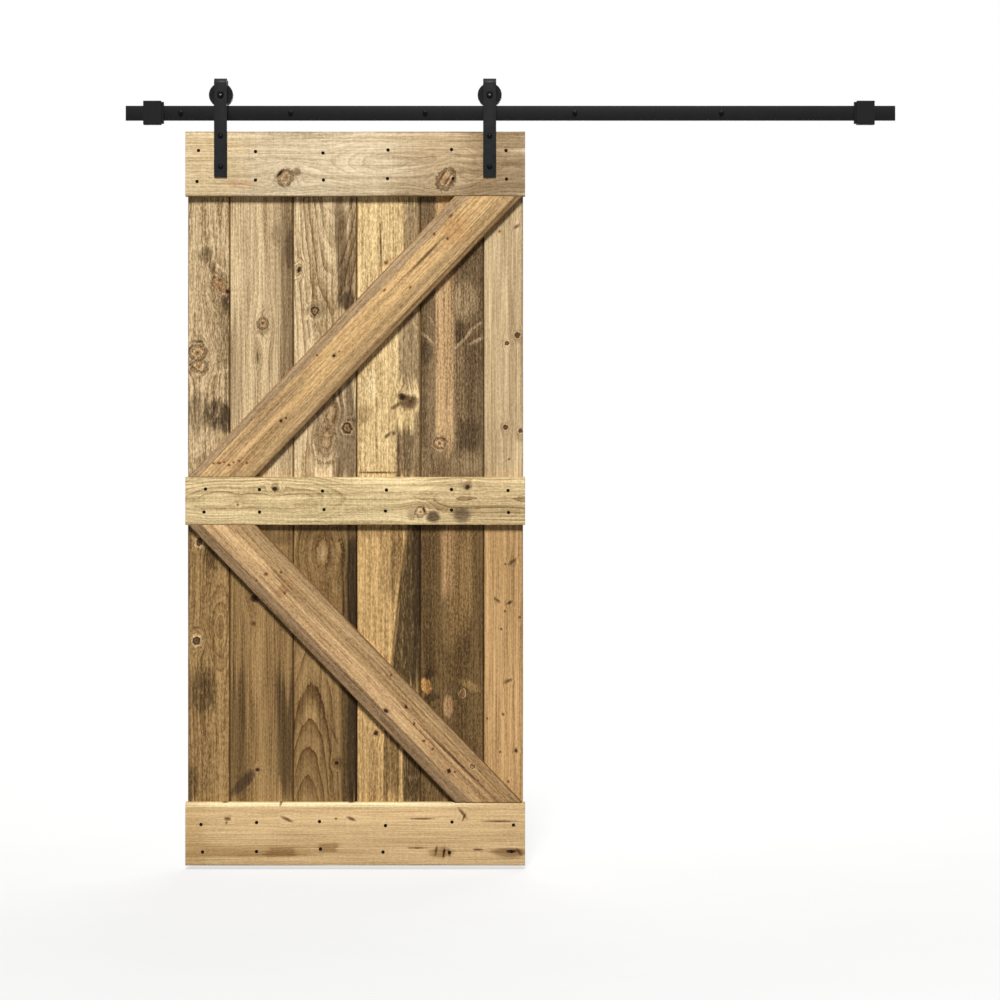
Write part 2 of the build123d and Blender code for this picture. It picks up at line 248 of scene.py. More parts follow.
# Weathering: tints of the darkest and the palest fibres, and the share of each pattern in shade and relief.
SHADE_LOW = (0.42, 0.36, 0.26)
SHADE_HIGH = (1.58, 1.64, 1.74)
SHADE_MEAN = 1.03
BAND_SHARE = 0.5
FLECK_MEAN = 0.2
FLECK_SHARE = 0.6
PIT_PATCHES = (0.48, 0.58)
RIM_WIDTH = 0.005
RELIEF_SHARES = (0.35, 0.2, 0.4, 0.25, 0.2, -0.3)
FIBRE_ROUGHNESS = 0.2
LATE_GLOSS = 0.08
WOOD_GLEAM = 0.14
WOOD_BUMP = 0.6

# Stains and painted light: metres that their ends are ragged, the swing of their edges, and their share
# behind the leaf.
STAIN_RAG = 0.06
STAIN_RAG_MOST = 0.6
STAIN_CLOUD = 1.6
STAIN_STREAK = 0.7
STAIN_EDGE = 0.7
STAIN_FLECKS = 0.5
FRONT_DEPTHS = (0.009, -0.004)
BACK_SHARE = 0.4

# Half the height over which the boards change tone at the middle rail, in front and behind.
FRONT_CHANGE = 0.12
BACK_CHANGE = 0.9

# Black finishes, their patterns, and a painted highlight in a bolt's socket.
NAIL_COAT = Coat(0.55, 0.0002, tone(70, 58, 48), 0.07)
LAG_COAT = Coat(0.3, 0.0002, tone(50, 50, 50), 0.09)
SCREW_COAT = Coat(0.3, 0.0001, tone(50, 50, 50), 0.09)
BOLT_COAT = Coat(0.28, 0.0001, tone(50, 50, 52), 0.09)
STRAP_COAT = Coat(0.42, 0.0002, tone(86, 86, 88))
TRACK_COAT = Coat(0.55, 0.0002, tone(92, 92, 94))
STOP_COAT = Coat(0.55, 0.0002, tone(88, 88, 90))
WHEEL_COAT = Coat(0.4, 0.0001, tone(96, 96, 98))
RUBBER_COAT = Coat(0.75, 0.0003, tone(60, 60, 60))
NAIL_BLACK = (0.0042, 0.0031, 0.0024)
BOLT_BLACK = (0.0016, 0.0016, 0.0017)
PEEL = Pattern((900, 900, 900), 2.0)
DUST = Pattern((38, 38, 38), 5.0, 4.0)
SCUFFS = Pattern((140, 140, 420), 3.0, 9.0)
DUST_SPAN = (0.35, 0.75)
DUST_GAIN = 1.3
DUST_LIFT = 0.001
DUST_GLOSS = 0.25
SCUFF_SPAN = (0.64, 0.85)
SCUFF_COVER = 0.12
SCUFF_RELIEF = 0.3
PEEL_RELIEF = 0.5
PEEL_GLOSS = 0.1
COAT_BUMP = 0.5
# Painted highlight in the axle bolt's socket.
PAINTED_SOCKET_HIGHLIGHT = tone(128, 128, 130)
SOCKET_RADIUS = 0.0046
SOCKET_RIM = (1.0, 0.6)

# Sawn edges: shortest edge that strays, its cuts, the end that stays, and waves as strength, seeds and rate.
LONG_EDGE = 0.3
ALONG_GRAIN = 0.99
WAVER_CUTS = 46
STEADY_END = 0.004
WAVES = ((1.0, 3.7, 5.1, 6.0), (0.5, 9.1, 2.3, 21.0))
WAVER_BIAS = 0.6
SILL_SEGMENTS = 5

# Profiles of the heads as shares of their radius and rise, and the shares of a lag bolt's and a screw's head.
NAIL_PROFILE = ((0.0, 1.0), (0.55, 0.93), (0.88, 0.62), (1.0, 0.2), (0.96, -1.0), (0.0, -1.0))
NAIL_STEPS = 14
FLANGE_PROFILE = ((0.0, 1.0), (0.72, 1.0), (0.96, 0.55), (1.0, 0.3), (1.0, 0.0), (0.0, 0.0))
FLANGE_STEPS = 24
FLANGE_SHARE = 0.28
HEAD_FOOT = 0.9
CROWN_EASE = 0.16
SCREW_STEPS = 24
SCREW_SEAT = 0.5
SCREW_LENGTH = 0.75
SCREW_CHAMFER = 0.2
SCREW_RIM = 0.25
SOCKET_DEPTH = 0.6
BEND_STEPS = 8

# Stage: tones of the floor, metres over which it turns white, and the lamp behind the leaf.
FLOOR_SIZE = 30.0
FLOOR_TONES = (tone(226, 226, 224), tone(236, 236, 234))
FLOOR_GREY = tone(128, 128, 126)
FLOOR_GRAIN = Pattern((3, 3, 3), 3.0)
FLOOR_FADE = (2.4, 4.2)
FLOOR_GLOW = 0.6
FLOOR_ROUGHNESS = 0.9
FLOOR_GLEAM = 0.1
WHITE = (1.0, 1.0, 1.0)
BACK_LAMP_SIZE = (2.4, 1.6)
BACK_LAMP_PLACE = Vector((0.6, 2.8, 1.6))
SENSOR_WIDTH = 36.0

KNOT_BLACK = tone(30, 22, 15)
KNOT_DARK = tone(58, 38, 22)
KNOT_BROWN = tone(104, 74, 44)
KNOT_CORE = tone(132, 94, 54)
KNOT_TAN = tone(176, 132, 82)
KNOT_ORANGE = tone(190, 138, 92)
KNOT_CREAM = tone(224, 194, 146)

# Stops of each kind of knot, from its middle at 0 to its rim at two thirds and its halo at 1: the place,
# the tint and how far it covers.
KNOT_LOOKS = {
    "ringed": (
        (0.0, KNOT_DARK, 0.95), (0.16, KNOT_CORE, 0.8), (0.3, KNOT_TAN, 0.65), (0.42, KNOT_DARK, 0.95),
        (0.6, KNOT_BLACK, 0.9), (0.7, KNOT_BROWN, 0.5), (0.8, KNOT_CREAM, 0.5), (1.0, KNOT_BROWN, 0.0),
    ),
    "cored": (
        (0.0, KNOT_BLACK, 0.95), (0.14, KNOT_BROWN, 0.95), (0.38, KNOT_DARK, 0.95),
        (0.48, KNOT_BLACK, 0.9), (0.56, KNOT_CREAM, 0.85), (0.66, KNOT_TAN, 0.7), (0.74, KNOT_CREAM, 0.6),
        (0.84, KNOT_BROWN, 0.4), (1.0, KNOT_BROWN, 0.0),
    ),
    "eye": (
        (0.0, KNOT_DARK, 0.85), (0.12, KNOT_CORE, 0.8), (0.26, KNOT_ORANGE, 0.75),
        (0.36, KNOT_CREAM, 0.8), (0.46, KNOT_DARK, 0.9), (0.54, KNOT_TAN, 0.6), (0.64, KNOT_BLACK, 0.85),
        (0.74, KNOT_BROWN, 0.5), (0.84, KNOT_CREAM, 0.35), (1.0, KNOT_BROWN, 0.0),
    ),
    "long": (
        (0.0, KNOT_ORANGE, 0.85), (0.2, KNOT_TAN, 0.75), (0.3, KNOT_BROWN, 0.8), (0.4, KNOT_ORANGE, 0.75),
        (0.54, KNOT_DARK, 0.95), (0.66, KNOT_CREAM, 0.6), (0.8, KNOT_BROWN, 0.35), (1.0, KNOT_BROWN, 0.0),
    ),
    "dark": (
        (0.0, KNOT_BLACK, 1.0), (0.36, KNOT_DARK, 0.97), (0.52, KNOT_BROWN, 0.75), (0.66, KNOT_TAN, 0.3),
        (0.8, KNOT_BROWN, 0.25), (1.0, KNOT_BROWN, 0.0),
    ),
    "pip": (
        (0.0, KNOT_DARK, 0.95), (0.4, KNOT_CORE, 0.9), (0.62, KNOT_ORANGE, 0.45), (1.0, KNOT_TAN, 0.0),
    ),
    "slash": (
        (0.0, KNOT_DARK, 0.95), (0.5, KNOT_BROWN, 0.75), (1.0, KNOT_BROWN, 0.0),
    ),
    "loop": (
        (0.0, KNOT_CREAM, 0.45), (0.44, KNOT_TAN, 0.35), (0.58, KNOT_DARK, 0.75), (0.68, KNOT_CORE, 0.4),
        (0.78, KNOT_BROWN, 0.5), (1.0, KNOT_BROWN, 0.0),
    ),
}

# Distance from a knot's middle to the end of its halo, with its rim at 1.
KNOT_REACH = 1.5

TIMBERS = {
    "board_1": Timber(
        pale=greyed(200), low=browned(152), rings=120.0, pith=0.03, depth=0.05, roll=0.09, contrast=0.7,
        streak=0.5, fleck=0.8, grit=0.6, rim=0.6, seed=1.0,
        knots=(
            Knot(219, 284, 5.0, 13, -42, "long", 46), Knot(227, 291, 2.6, 3.4, -42, "dark"),
            Knot(196.6, 352.4, 8.8, 7.6, 0, "eye", 30), Knot(198.4, 366, 8.4, 6.2, 0, "eye", 24),
            Knot(197.7, 341, 5, 1.6, 0, "slash"), Knot(198.5, 542, 4.4, 5.6, 0, "cored", 20),
            Knot(196, 641, 5.2, 5.6, 0, "cored", 24), Knot(196, 628, 4, 1.4, 0, "slash"),
        ),
        stains_and_painted_light=(
            stripe(209, 226, 22, 30, greyed(212), 0.8), StainAndPaintedLight(205, 254, 8, 8, greyed(140), 0.9),
            StainAndPaintedLight(212, 266, 4, 7, greyed(146), 0.8, 0.6), StainAndPaintedLight(227, 303, 6, 14, greyed(100), 0.97, 0.45),
            stripe(225, 345, 7, 36, greyed(160), 0.8, 0.6), StainAndPaintedLight(216, 414, 13, 15, greyed(94), 0.97),
            StainAndPaintedLight(225, 419, 6, 15, greyed(84), 0.92, 0.4),
            StainAndPaintedLight(222, 371, 9, 2, greyed(224), 0.85, 0.5, -12), StainAndPaintedLight(195, 414, 9, 22, greyed(134), 0.85),
            # The patch at (213, 560) is painted shadow, widening the lower brace's shadow below its
            # lower-left edge.
            StainAndPaintedLight(203, 462, 9, 8, greyed(138), 0.8), StainAndPaintedLight(213, 560, 16, 8, browned(100), 0.9, 0.5, 40),
            StainAndPaintedLight(201, 690, 13, 24, browned(98), 0.95, 0.6), StainAndPaintedLight(190, 784, 7, 18, browned(100), 0.9),
            stripe(223, 640, 6, 90, browned(166), 0.7, 0.6),
        ),
    ),
    "board_2": Timber(
        pale=greyed(212), low=browned(150), rings=150.0, pith=-0.11, depth=0.03, roll=0.03, contrast=0.5,
        streak=0.55, fleck=0.25, grit=0.46, rim=0.6, seed=2.0,
        knots=(
            Knot(262.3, 322.8, 5.6, 5.4, 20, "eye", 40), Knot(257, 357, 0.9, 5.5, 0, "slash", 22),
            Knot(295, 356, 1.6, 5, 0, "dark"), Knot(254, 599, 6, 5, 30, "dark", 26),
            Knot(253, 624, 2, 2.5, 0, "slash"), Knot(257, 770.5, 3.4, 2.8, 30, "dark", 14),
        ),
        stains_and_painted_light=(
            stripe(276, 300, 9, 100, greyed(184), 0.8, 0.7), stripe(290, 300, 9, 98, greyed(148), 0.92),
            StainAndPaintedLight(289, 250, 5, 18, greyed(116), 0.95), StainAndPaintedLight(276, 235, 7, 10, greyed(160), 0.8),
            stripe(234, 380, 6, 64, greyed(168), 0.8, 0.6), StainAndPaintedLight(263, 328, 7, 7, greyed(158), 0.8),
            StainAndPaintedLight(256, 660, 5, 44, browned(174), 0.8, 0.6),
            stripe(237, 738, 7, 62, browned(112), 0.92, 0.45),
            stripe(284, 742, 8, 54, browned(92), 0.97, 0.4),
            StainAndPaintedLight(243.5, 783, 4.5, 18, tone(84, 63, 42), 0.92, 0.5, 46),
            # Painted shadow under the middle rail.
            StainAndPaintedLight(270, 538, 22, 8, browned(112), 0.8),
        ),
    ),
    "board_3": Timber(
        pale=greyed(220), low=browned(146), rings=95.0, pith=-0.014, lean=0.047, depth=0.14, bow=0.085,
        roll=0.02, contrast=1.15, streak=0.45, fleck=0.2, grit=0.48, rim=0.6, seed=3.0,
        knots=(
            Knot(298.5, 269, 2.6, 4.4, 12, "dark", 26), Knot(314.3, 310.5, 4, 4.4, 0, "ringed", 28),
            Knot(346.5, 428, 5, 5.6, 0, "ringed", 26), Knot(331, 414, 5, 10, 14, "loop", 22),
            Knot(326, 440, 6, 11, 6, "loop", 22), Knot(322, 553, 8, 17, 3, "loop", 36),
            Knot(336, 763.5, 3, 3.2, 0, "dark", 16), Knot(334, 736, 1.2, 10, -22, "slash"),
        ),
        stains_and_painted_light=(
            stripe(342, 250, 6.5, 56, greyed(140), 0.97, 0.45, -4),
            stripe(353, 240, 4, 40, greyed(176), 0.8, 0.5, -3), StainAndPaintedLight(346, 300, 8, 11, greyed(100), 0.97),
            StainAndPaintedLight(316, 309, 9, 8, greyed(156), 0.8), stripe(346, 440, 12, 52, greyed(126), 0.92),
            # Mostly painted shadow below the upper brace's lower edge.
            StainAndPaintedLight(324, 425, 14, 34, greyed(164), 0.8, 0.6),
            stripe(346, 585, 5, 62, browned(96), 0.92, 0.4),
            stripe(352.5, 600, 5.5, 80, browned(62), 0.99, 0.3),
            stripe(345, 744, 6, 64, browned(84), 0.95, 0.4),
            stripe(353, 745, 5, 66, browned(62), 0.99, 0.3), stripe(316, 752, 24, 62, browned(134), 0.85),
            # The patch at (325, 534) is painted shadow under the middle rail.
            StainAndPaintedLight(310, 714, 6, 14, browned(164), 0.7), StainAndPaintedLight(325, 534, 32, 8, browned(120), 0.8),
        ),
    ),
    "board_4": Timber(
        pale=tone(229, 197, 141), low=tone(200, 162, 106), rings=120.0, pith=0.13, depth=0.03, roll=0.02,
        contrast=0.35, streak=0.33, fleck=0.45, grit=0.55, mottle=0.65, rim=0.6, seed=4.0,
        knots=(
            Knot(402, 396.5, 5, 4.4, 30, "dark", 30), Knot(410, 401, 6, 3.6, -20, "slash", 20),
            Knot(396, 405.5, 1.8, 6, 58, "slash"), Knot(380, 224, 1.6, 3, 0, "pip", 12),
            Knot(380.5, 246, 0.8, 22, -2, "slash"), Knot(386, 262, 2.2, 3, 30, "pip", 14),
            Knot(387.5, 435, 1.6, 4.4, 50, "slash"), Knot(393.5, 433, 1.4, 2.2, 0, "slash"),
            Knot(377, 472.5, 19, 1.0, 0, "slash"), Knot(375.3, 733.5, 3.4, 3.6, 0, "dark", 18),
            Knot(399.3, 593, 1.3, 66, 6.6, "slash"),
        ),
        stains_and_painted_light=(
            stripe(412.5, 226, 9, 30, greyed(156), 0.95, 0.25),
            stripe(409, 345, 10.5, 42, greyed(158), 0.95, 0.25), StainAndPaintedLight(404, 330, 4, 26, greyed(176), 0.7),
            StainAndPaintedLight(409, 402, 9, 7, tone(104, 82, 58), 0.9),
            StainAndPaintedLight(410, 392, 9, 2, tone(232, 204, 156), 0.85, 0.4, -12),
            stripe(407, 455, 10, 24, greyed(124), 0.97, 0.4),
            stripe(417, 446, 3.6, 36, greyed(162), 0.9, 0.4),
            StainAndPaintedLight(371, 384, 5, 14, tone(244, 216, 166), 0.8),
            StainAndPaintedLight(364, 414, 6, 9, tone(174, 142, 96), 0.7),
            StainAndPaintedLight(387, 566, 6, 34, browned(168), 0.7, 0.6, 7),
            StainAndPaintedLight(394, 566, 6, 38, browned(148), 0.85, 0.5, 7),
            stripe(411.3, 600, 11.6, 92, browned(76), 0.98, 0.15, 6.6),
            stripe(417, 600, 4, 90, browned(60), 0.9, 0.4), stripe(368, 768, 11, 40, browned(178), 0.8),
            stripe(391, 772, 8, 34, browned(132), 0.92), stripe(411, 774, 9, 34, browned(74), 0.97, 0.4),
            # Painted shadow under the middle rail.
            StainAndPaintedLight(380, 533, 24, 6, browned(168), 0.7),
        ),
    ),
    "board_5": Timber(
        pale=greyed(124), low=browned(108), rings=110.0, pith=-0.12, depth=0.02, roll=0.03, contrast=0.4,
        streak=0.5, fleck=1.0, grit=0.7, mottle=1.0, rim=0.6, seed=5.0,
        knots=(
            Knot(439.5, 443, 5.6, 6, 0, "eye", 26), Knot(444, 439, 1.4, 5, -50, "slash"),
            Knot(462.5, 694.5, 3, 5, 20, "long", 18), Knot(436, 672, 2, 8, -40, "slash"),
        ),
        stains_and_painted_light=(
            stripe(444.4, 300, 9.3, 155, tone(204, 166, 118), 0.98, 0.16),
            stripe(431.5, 390, 4, 64, greyed(152), 0.8, 0.6),
            stripe(458, 390, 5, 64, greyed(162), 0.85, 0.6), StainAndPaintedLight(464, 300, 11, 17, greyed(182), 0.85),
            stripe(471, 436, 12, 13, greyed(92), 0.92), StainAndPaintedLight(466, 464, 16, 11, greyed(154), 0.85),
            StainAndPaintedLight(426, 462, 5, 14, greyed(150), 0.8), StainAndPaintedLight(459.5, 332, 4.5, 11, greyed(88), 0.9),
            StainAndPaintedLight(475, 360, 8, 15, greyed(118), 0.85), StainAndPaintedLight(427, 352, 6, 10, greyed(98), 0.85),
            StainAndPaintedLight(461, 342, 1.3, 7.6, tone(204, 176, 138), 0.95, 0.6, 47),
            StainAndPaintedLight(469, 332.5, 1.3, 5.6, tone(204, 176, 138), 0.95, 0.6, 31),
            StainAndPaintedLight(477, 325, 1.2, 6.6, tone(190, 160, 124), 0.9, 0.6, 58),
            StainAndPaintedLight(476.5, 340.4, 1.5, 7, tone(200, 170, 132), 0.95, 0.6, 66),
            StainAndPaintedLight(424.6, 335, 1.2, 5, tone(190, 162, 124), 0.95, 0.6, -56),
            StainAndPaintedLight(430.8, 340.4, 1.3, 4.4, tone(190, 162, 124), 0.95, 0.6, -40),
            StainAndPaintedLight(431.4, 320, 1.1, 6, tone(180, 150, 114), 0.9, 0.6, -28),
            stripe(448, 566, 7, 42, tone(178, 140, 96), 0.95, 0.35),
            StainAndPaintedLight(449, 622, 7, 28, browned(138), 0.8, 0.6),
            stripe(463, 574, 10, 46, browned(152), 0.9, 0.45), stripe(426, 600, 5, 60, browned(100), 0.8),
            stripe(481.5, 600, 4, 70, browned(94), 0.85),
            StainAndPaintedLight(425.5, 686, 5, 8, tone(206, 155, 94), 0.97, 0.2, -20),
            StainAndPaintedLight(431, 673, 9, 4, browned(70), 0.92, 0.4, -38),
            StainAndPaintedLight(432, 698, 8, 4, browned(74), 0.92, 0.4, -20),
            StainAndPaintedLight(448, 707, 5, 11, tone(176, 138, 95), 0.92, 0.35),
            StainAndPaintedLight(470, 686, 10, 4, browned(156), 0.85, 0.5, 30),
        ),
    ),
    "board_6": Timber(
        pale=greyed(205), low=tone(196, 156, 105), rings=190.0, pith=-0.13, depth=0.05, contrast=0.3,
        streak=0.42, fleck=0.15, rim=0.3, seed=6.0,
        knots=(
            Knot(516.5, 226, 1.6, 3.6, 55, "slash", 10), Knot(499.5, 231, 2, 2.2, 0, "pip", 10),
            Knot(517.5, 334.5, 3.4, 4.2, 40, "cored", 16), Knot(507, 343, 3, 3.2, 0, "cored", 14),
            Knot(505.7, 427, 3.6, 3.4, 0, "cored", 14), Knot(520.5, 430.5, 3.2, 3.2, 0, "cored", 10),
            Knot(509, 459, 1.4, 1.5, 0, "pip"), Knot(512.5, 562, 1.7, 4.5, 50, "slash", 10),
            Knot(505.3, 564.5, 1.4, 1.5, 0, "pip"), Knot(497.3, 600.5, 1.5, 3.6, -50, "slash", 8),
            Knot(509.3, 603, 1.5, 3.2, 60, "slash", 8), Knot(505, 611.6, 1.8, 1.9, 0, "pip"),
            Knot(520, 617.5, 1.8, 2, 0, "pip"), Knot(501.3, 629.3, 1.6, 1.7, 0, "pip"),
            Knot(508, 681.5, 1.7, 4.4, 66, "slash", 10), Knot(503.3, 715, 2, 2.2, 0, "pip", 8),
            Knot(487, 719, 1.6, 1.8, 0, "pip"), Knot(516, 751, 2.4, 2.5, 0, "dark", 10),
            Knot(499.8, 752.6, 1.8, 2, 0, "pip", 8), Knot(508.5, 782.2, 2, 2.1, 0, "pip", 8),
        ),
        stains_and_painted_light=(
            stripe(512, 380, 4, 110, greyed(186), 0.7, 0.6), StainAndPaintedLight(520, 436, 5, 6, greyed(160), 0.7),
            StainAndPaintedLight(520, 338, 5, 6, greyed(164), 0.7),
        ),
    ),
    "top_rail": Timber(
        pale=tone(223, 201, 163), rings=150.0, pith=-0.006, depth=0.09, roll=0.09, contrast=0.45,
        streak=0.22, fibre=0.3, fleck=0.12, rim=0.3, saw=0.1, seed=7.0,
        knots=(
            Knot(285.5, 177.8, 7.2, 8.8, 36, "eye", 52), Knot(280, 173.5, 1.8, 7.5, 44, "dark"),
            Knot(446, 179, 8.4, 11.6, 34, "eye", 44), Knot(441.5, 177, 1.3, 8, 32, "slash"),
            Knot(447, 181, 1.0, 8, 32, "slash"), Knot(452, 181, 1.2, 6, 32, "slash"),
        ),
        stains_and_painted_light=(
            stripe(208, 164, 34, 44, tone(223, 195, 148), 0.85, 0.6),
            stripe(446, 164, 50, 44, tone(196, 168, 128), 0.85, 0.7),
            stripe(498, 164, 36, 44, tone(166, 138, 102), 0.9, 0.6),
            StainAndPaintedLight(297, 171, 4.5, 4.5, greyed(132), 0.85), StainAndPaintedLight(458, 172, 8, 3, greyed(140), 0.75, 0.6),
            StainAndPaintedLight(240, 184, 14, 4, tone(226, 184, 140), 0.7, 0.6),
        ),
    ),
    "middle_rail": Timber(
        pale=tone(234, 208, 156), rings=130.0, pith=-0.006, depth=0.05, roll=0.15, contrast=0.85,
        streak=0.26, fibre=0.34, fleck=0.22, rim=0.3, saw=0.1, seed=8.0,
        knots=(
            Knot(275, 488.8, 3.6, 3.2, 0, "dark", 34), Knot(237.7, 504.8, 1.7, 1.6, 0, "pip", 12),
            Knot(420.3, 512, 5.6, 5.2, 0, "eye", 34), Knot(424, 510, 1.3, 4, -10, "dark"),
            Knot(467.5, 487, 3, 3.4, 45, "dark", 26),
        ),
        stains_and_painted_light=(
            stripe(350, 501, 46, 30, tone(224, 199, 148), 0.8, 0.7),
            stripe(478, 501, 56, 30, tone(217, 189, 140), 0.85, 0.6),
            StainAndPaintedLight(433, 517, 7, 5.5, tone(98, 80, 56), 0.94),
            StainAndPaintedLight(462, 516, 9, 7, tone(116, 96, 70), 0.9, 0.6),
            StainAndPaintedLight(412, 514, 5, 6, tone(160, 134, 98), 0.7),
            StainAndPaintedLight(466, 487, 7, 5, tone(160, 134, 98), 0.7),
        ),
    ),
    "bottom_rail": Timber(
        pale=tone(212, 179, 130), rings=170.0, pith=0.16, depth=0.04, roll=0.03, contrast=0.18,
        streak=0.22, fibre=0.22, fleck=0.12, grit=0.2, rim=0.3, saw=0.05, seed=9.0,
        knots=(
            Knot(227.5, 818.7, 3, 1.8, 0, "slash", 16), Knot(226.5, 823, 1.4, 1.6, 0, "pip"),
            Knot(287, 819.3, 1.5, 6, -66, "slash", 16), Knot(336, 818.6, 1.6, 1.4, 0, "pip"),
            Knot(351.4, 818.7, 1.4, 4.4, -66, "slash", 16), Knot(281, 803, 1.2, 3, 20, "slash"),
            Knot(351, 802, 3, 1, 0, "slash"), Knot(225, 802, 3, 1, 0, "slash"),
            Knot(422, 818.8, 12, 0.9, 0, "slash"), Knot(499, 821.2, 16, 0.9, 0, "slash"),
            Knot(462.5, 813, 1.5, 6, -40, "slash", 12), Knot(464, 817, 1.1, 4, 20, "slash"),
            Knot(417, 848, 9, 0.9, 0, "slash"), Knot(436, 851, 1.2, 5, 10, "slash"),
            Knot(444, 852, 1.8, 6, 10, "dark"), Knot(449, 853, 1.0, 4, -10, "slash"),
            Knot(478, 849.5, 4, 1.2, 0, "slash"), Knot(512, 851.4, 8, 2.2, 0, "dark"),
            Knot(519, 852, 1.6, 4, -40, "slash"),
        ),
        stains_and_painted_light=(
            stripe(192, 832, 12, 40, tone(198, 163, 112), 0.8, 0.6),
            stripe(350, 812, 180, 6, tone(218, 184, 134), 0.7, 0.6),
            # Painted highlight along the bottom rail's rounded upper edge.
            stripe(322, 804, 136, 2.6, tone(252, 230, 180), 0.95, 0.4),
            stripe(245, 851, 60, 5, tone(182, 146, 96), 0.8),
            stripe(281, 852, 12, 4.5, tone(150, 114, 70), 0.85, 0.4),
            stripe(328, 848, 8, 4, tone(156, 120, 76), 0.8, 0.4),
            StainAndPaintedLight(440, 853, 12, 5, tone(150, 112, 68), 0.75),
            StainAndPaintedLight(510, 853, 16, 5, tone(140, 106, 68), 0.8),
        ),
    ),
    "upper_brace": Timber(
        pale=tone(214, 174, 119), rings=150.0, pith=0.16, depth=0.02, roll=0.02, contrast=0.2,
        streak=0.34, fleck=0.15, grit=0.42, rim=0.4, pits=0.8, seed=10.0,
        knots=(
            Knot(425.7, 256, 1.3, 23, 43.8, "slash"), Knot(434, 234, 1.8, 2.2, 0, "pip"),
            Knot(447.6, 238.7, 1.6, 2.2, 0, "pip"), Knot(451, 215.7, 1.3, 2.4, 40, "slash"),
            Knot(384.5, 290, 1.4, 2.6, 40, "pip"), Knot(410.3, 287, 1.5, 2.2, 30, "pip"),
            Knot(334.2, 355.7, 2, 2.2, 0, "dark", 10), Knot(339.2, 351.6, 1.3, 1.5, 0, "pip"),
            Knot(317, 355, 1.5, 1.8, 0, "pip"), Knot(281, 421, 1.9, 2.2, 0, "dark"),
            Knot(286, 418, 1.5, 1.8, 0, "pip"), Knot(219, 463, 2.8, 1.7, 0, "pip"),
            Knot(229, 465, 2.2, 1.6, 0, "pip"), Knot(239, 461, 2.4, 1.8, 0, "pip"),
            Knot(247, 463, 2, 1.7, 0, "pip"), Knot(213.5, 463.5, 1.8, 1.5, 0, "pip"),
            Knot(224, 462, 1.7, 1.5, 0, "pip"), Knot(233.5, 462.6, 1.7, 1.5, 0, "pip"),
        ),
        stains_and_painted_light=(
            stripe(340.5, 322.5, 5.6, 230, tone(172, 142, 106), 0.97, 0.15, 44.2),
            stripe(366.4, 347, 7.5, 230, tone(193, 158, 110), 0.95, 0.12, 43.4),
            stripe(256, 446, 4.5, 34, tone(180, 144, 98), 0.8, 0.5, 43.4),
            # Painted shade along the brace's lower-right edge.
            stripe(371.4, 351.7, 2.4, 230, tone(138, 108, 72), 0.85, 0.35, 43.4),
            StainAndPaintedLight(260, 425, 6, 70, tone(160, 130, 94), 0.6, 0.6, 43.4),
            StainAndPaintedLight(455, 228, 12, 14, tone(200, 152, 98), 0.7, 0.6, 43.4),
            StainAndPaintedLight(242, 461, 20, 9, tone(192, 152, 104), 0.6),
        ),
    ),
    "lower_brace": Timber(
        pale=tone(200, 162, 115), rings=150.0, pith=-0.16, depth=0.02, roll=0.02, contrast=0.22,
        streak=0.5, fleck=0.2, grit=0.4, rim=0.6, pits=1.1, seed=11.0,
        knots=(
            Knot(266, 574, 3, 2.2, 0, "pip"), Knot(256, 581, 2.2, 1.8, 0, "pip"),
            Knot(281, 572, 2, 2.4, 0, "pip"), Knot(284.5, 593, 2.2, 2.6, 0, "pip"),
            Knot(386, 711, 2.4, 3.4, -40, "dark", 12), Knot(406, 707, 2, 2.8, -40, "dark", 10),
            Knot(391, 675, 1.6, 2.8, 20, "pip"), Knot(414, 724, 2, 2.4, 0, "pip"),
            Knot(424, 741, 2.2, 2, 0, "pip"), Knot(433, 749, 1.8, 2, 0, "pip"),
            Knot(449, 771, 2.6, 3, 0, "dark", 12), Knot(472.5, 766.5, 2.4, 2.4, 0, "ringed", 12),
            Knot(458.5, 763, 1.2, 51, -45.4, "slash"), Knot(455, 772, 1.8, 1.8, 0, "pip"),
            Knot(478, 781, 1.6, 2.2, -40, "pip"),
        ),
        stains_and_painted_light=(
            stripe(341, 677, 6.8, 240, tone(142, 114, 82), 0.97, 0.12, -44.3),
            stripe(361.7, 657.4, 6.2, 240, tone(170, 136, 93), 0.92, 0.2, -44.3),
            stripe(370.2, 649.3, 5.6, 240, tone(162, 131, 91), 0.95, 0.15, -44.3),
            StainAndPaintedLight(252, 552, 4, 34, tone(216, 178, 126), 0.85, 0.5, -44.3),
            StainAndPaintedLight(287, 586, 16, 5, tone(172, 132, 88), 0.8, 0.6, -44.3),
            StainAndPaintedLight(460, 770, 16, 50, tone(172, 135, 92), 0.75, 0.6, -44.3),
        ),
    ),
}

# Pixels of the nails, along the upper and the lower row of each rail.
NAILS = {
    "top_rail": (
        (198.5, 150.5), (255.5, 151.5), (323, 153), (388, 150), (451.5, 149.5), (506, 150.5),
        (197, 181.5), (255.5, 180), (323.5, 180), (387.5, 178.5), (453, 178.5), (506.5, 179),
    ),
    "middle_rail": (
        (205.5, 489), (259.5, 489.5), (322.5, 491), (386.5, 490), (451.5, 489.5), (508, 490.5),
        (204, 512), (259.5, 512), (324, 509.5), (385.5, 511), (451.5, 510), (508.5, 512.5),
    ),
    "bottom_rail": (
        (201, 824.5), (256.5, 822.5), (319.5, 821.5), (385.5, 825.5), (452, 822), (513.5, 825),
        (202.5, 852), (256.5, 851.5), (320.5, 849), (383, 852), (449.5, 852.5), (511.5, 851.5),
    ),
}


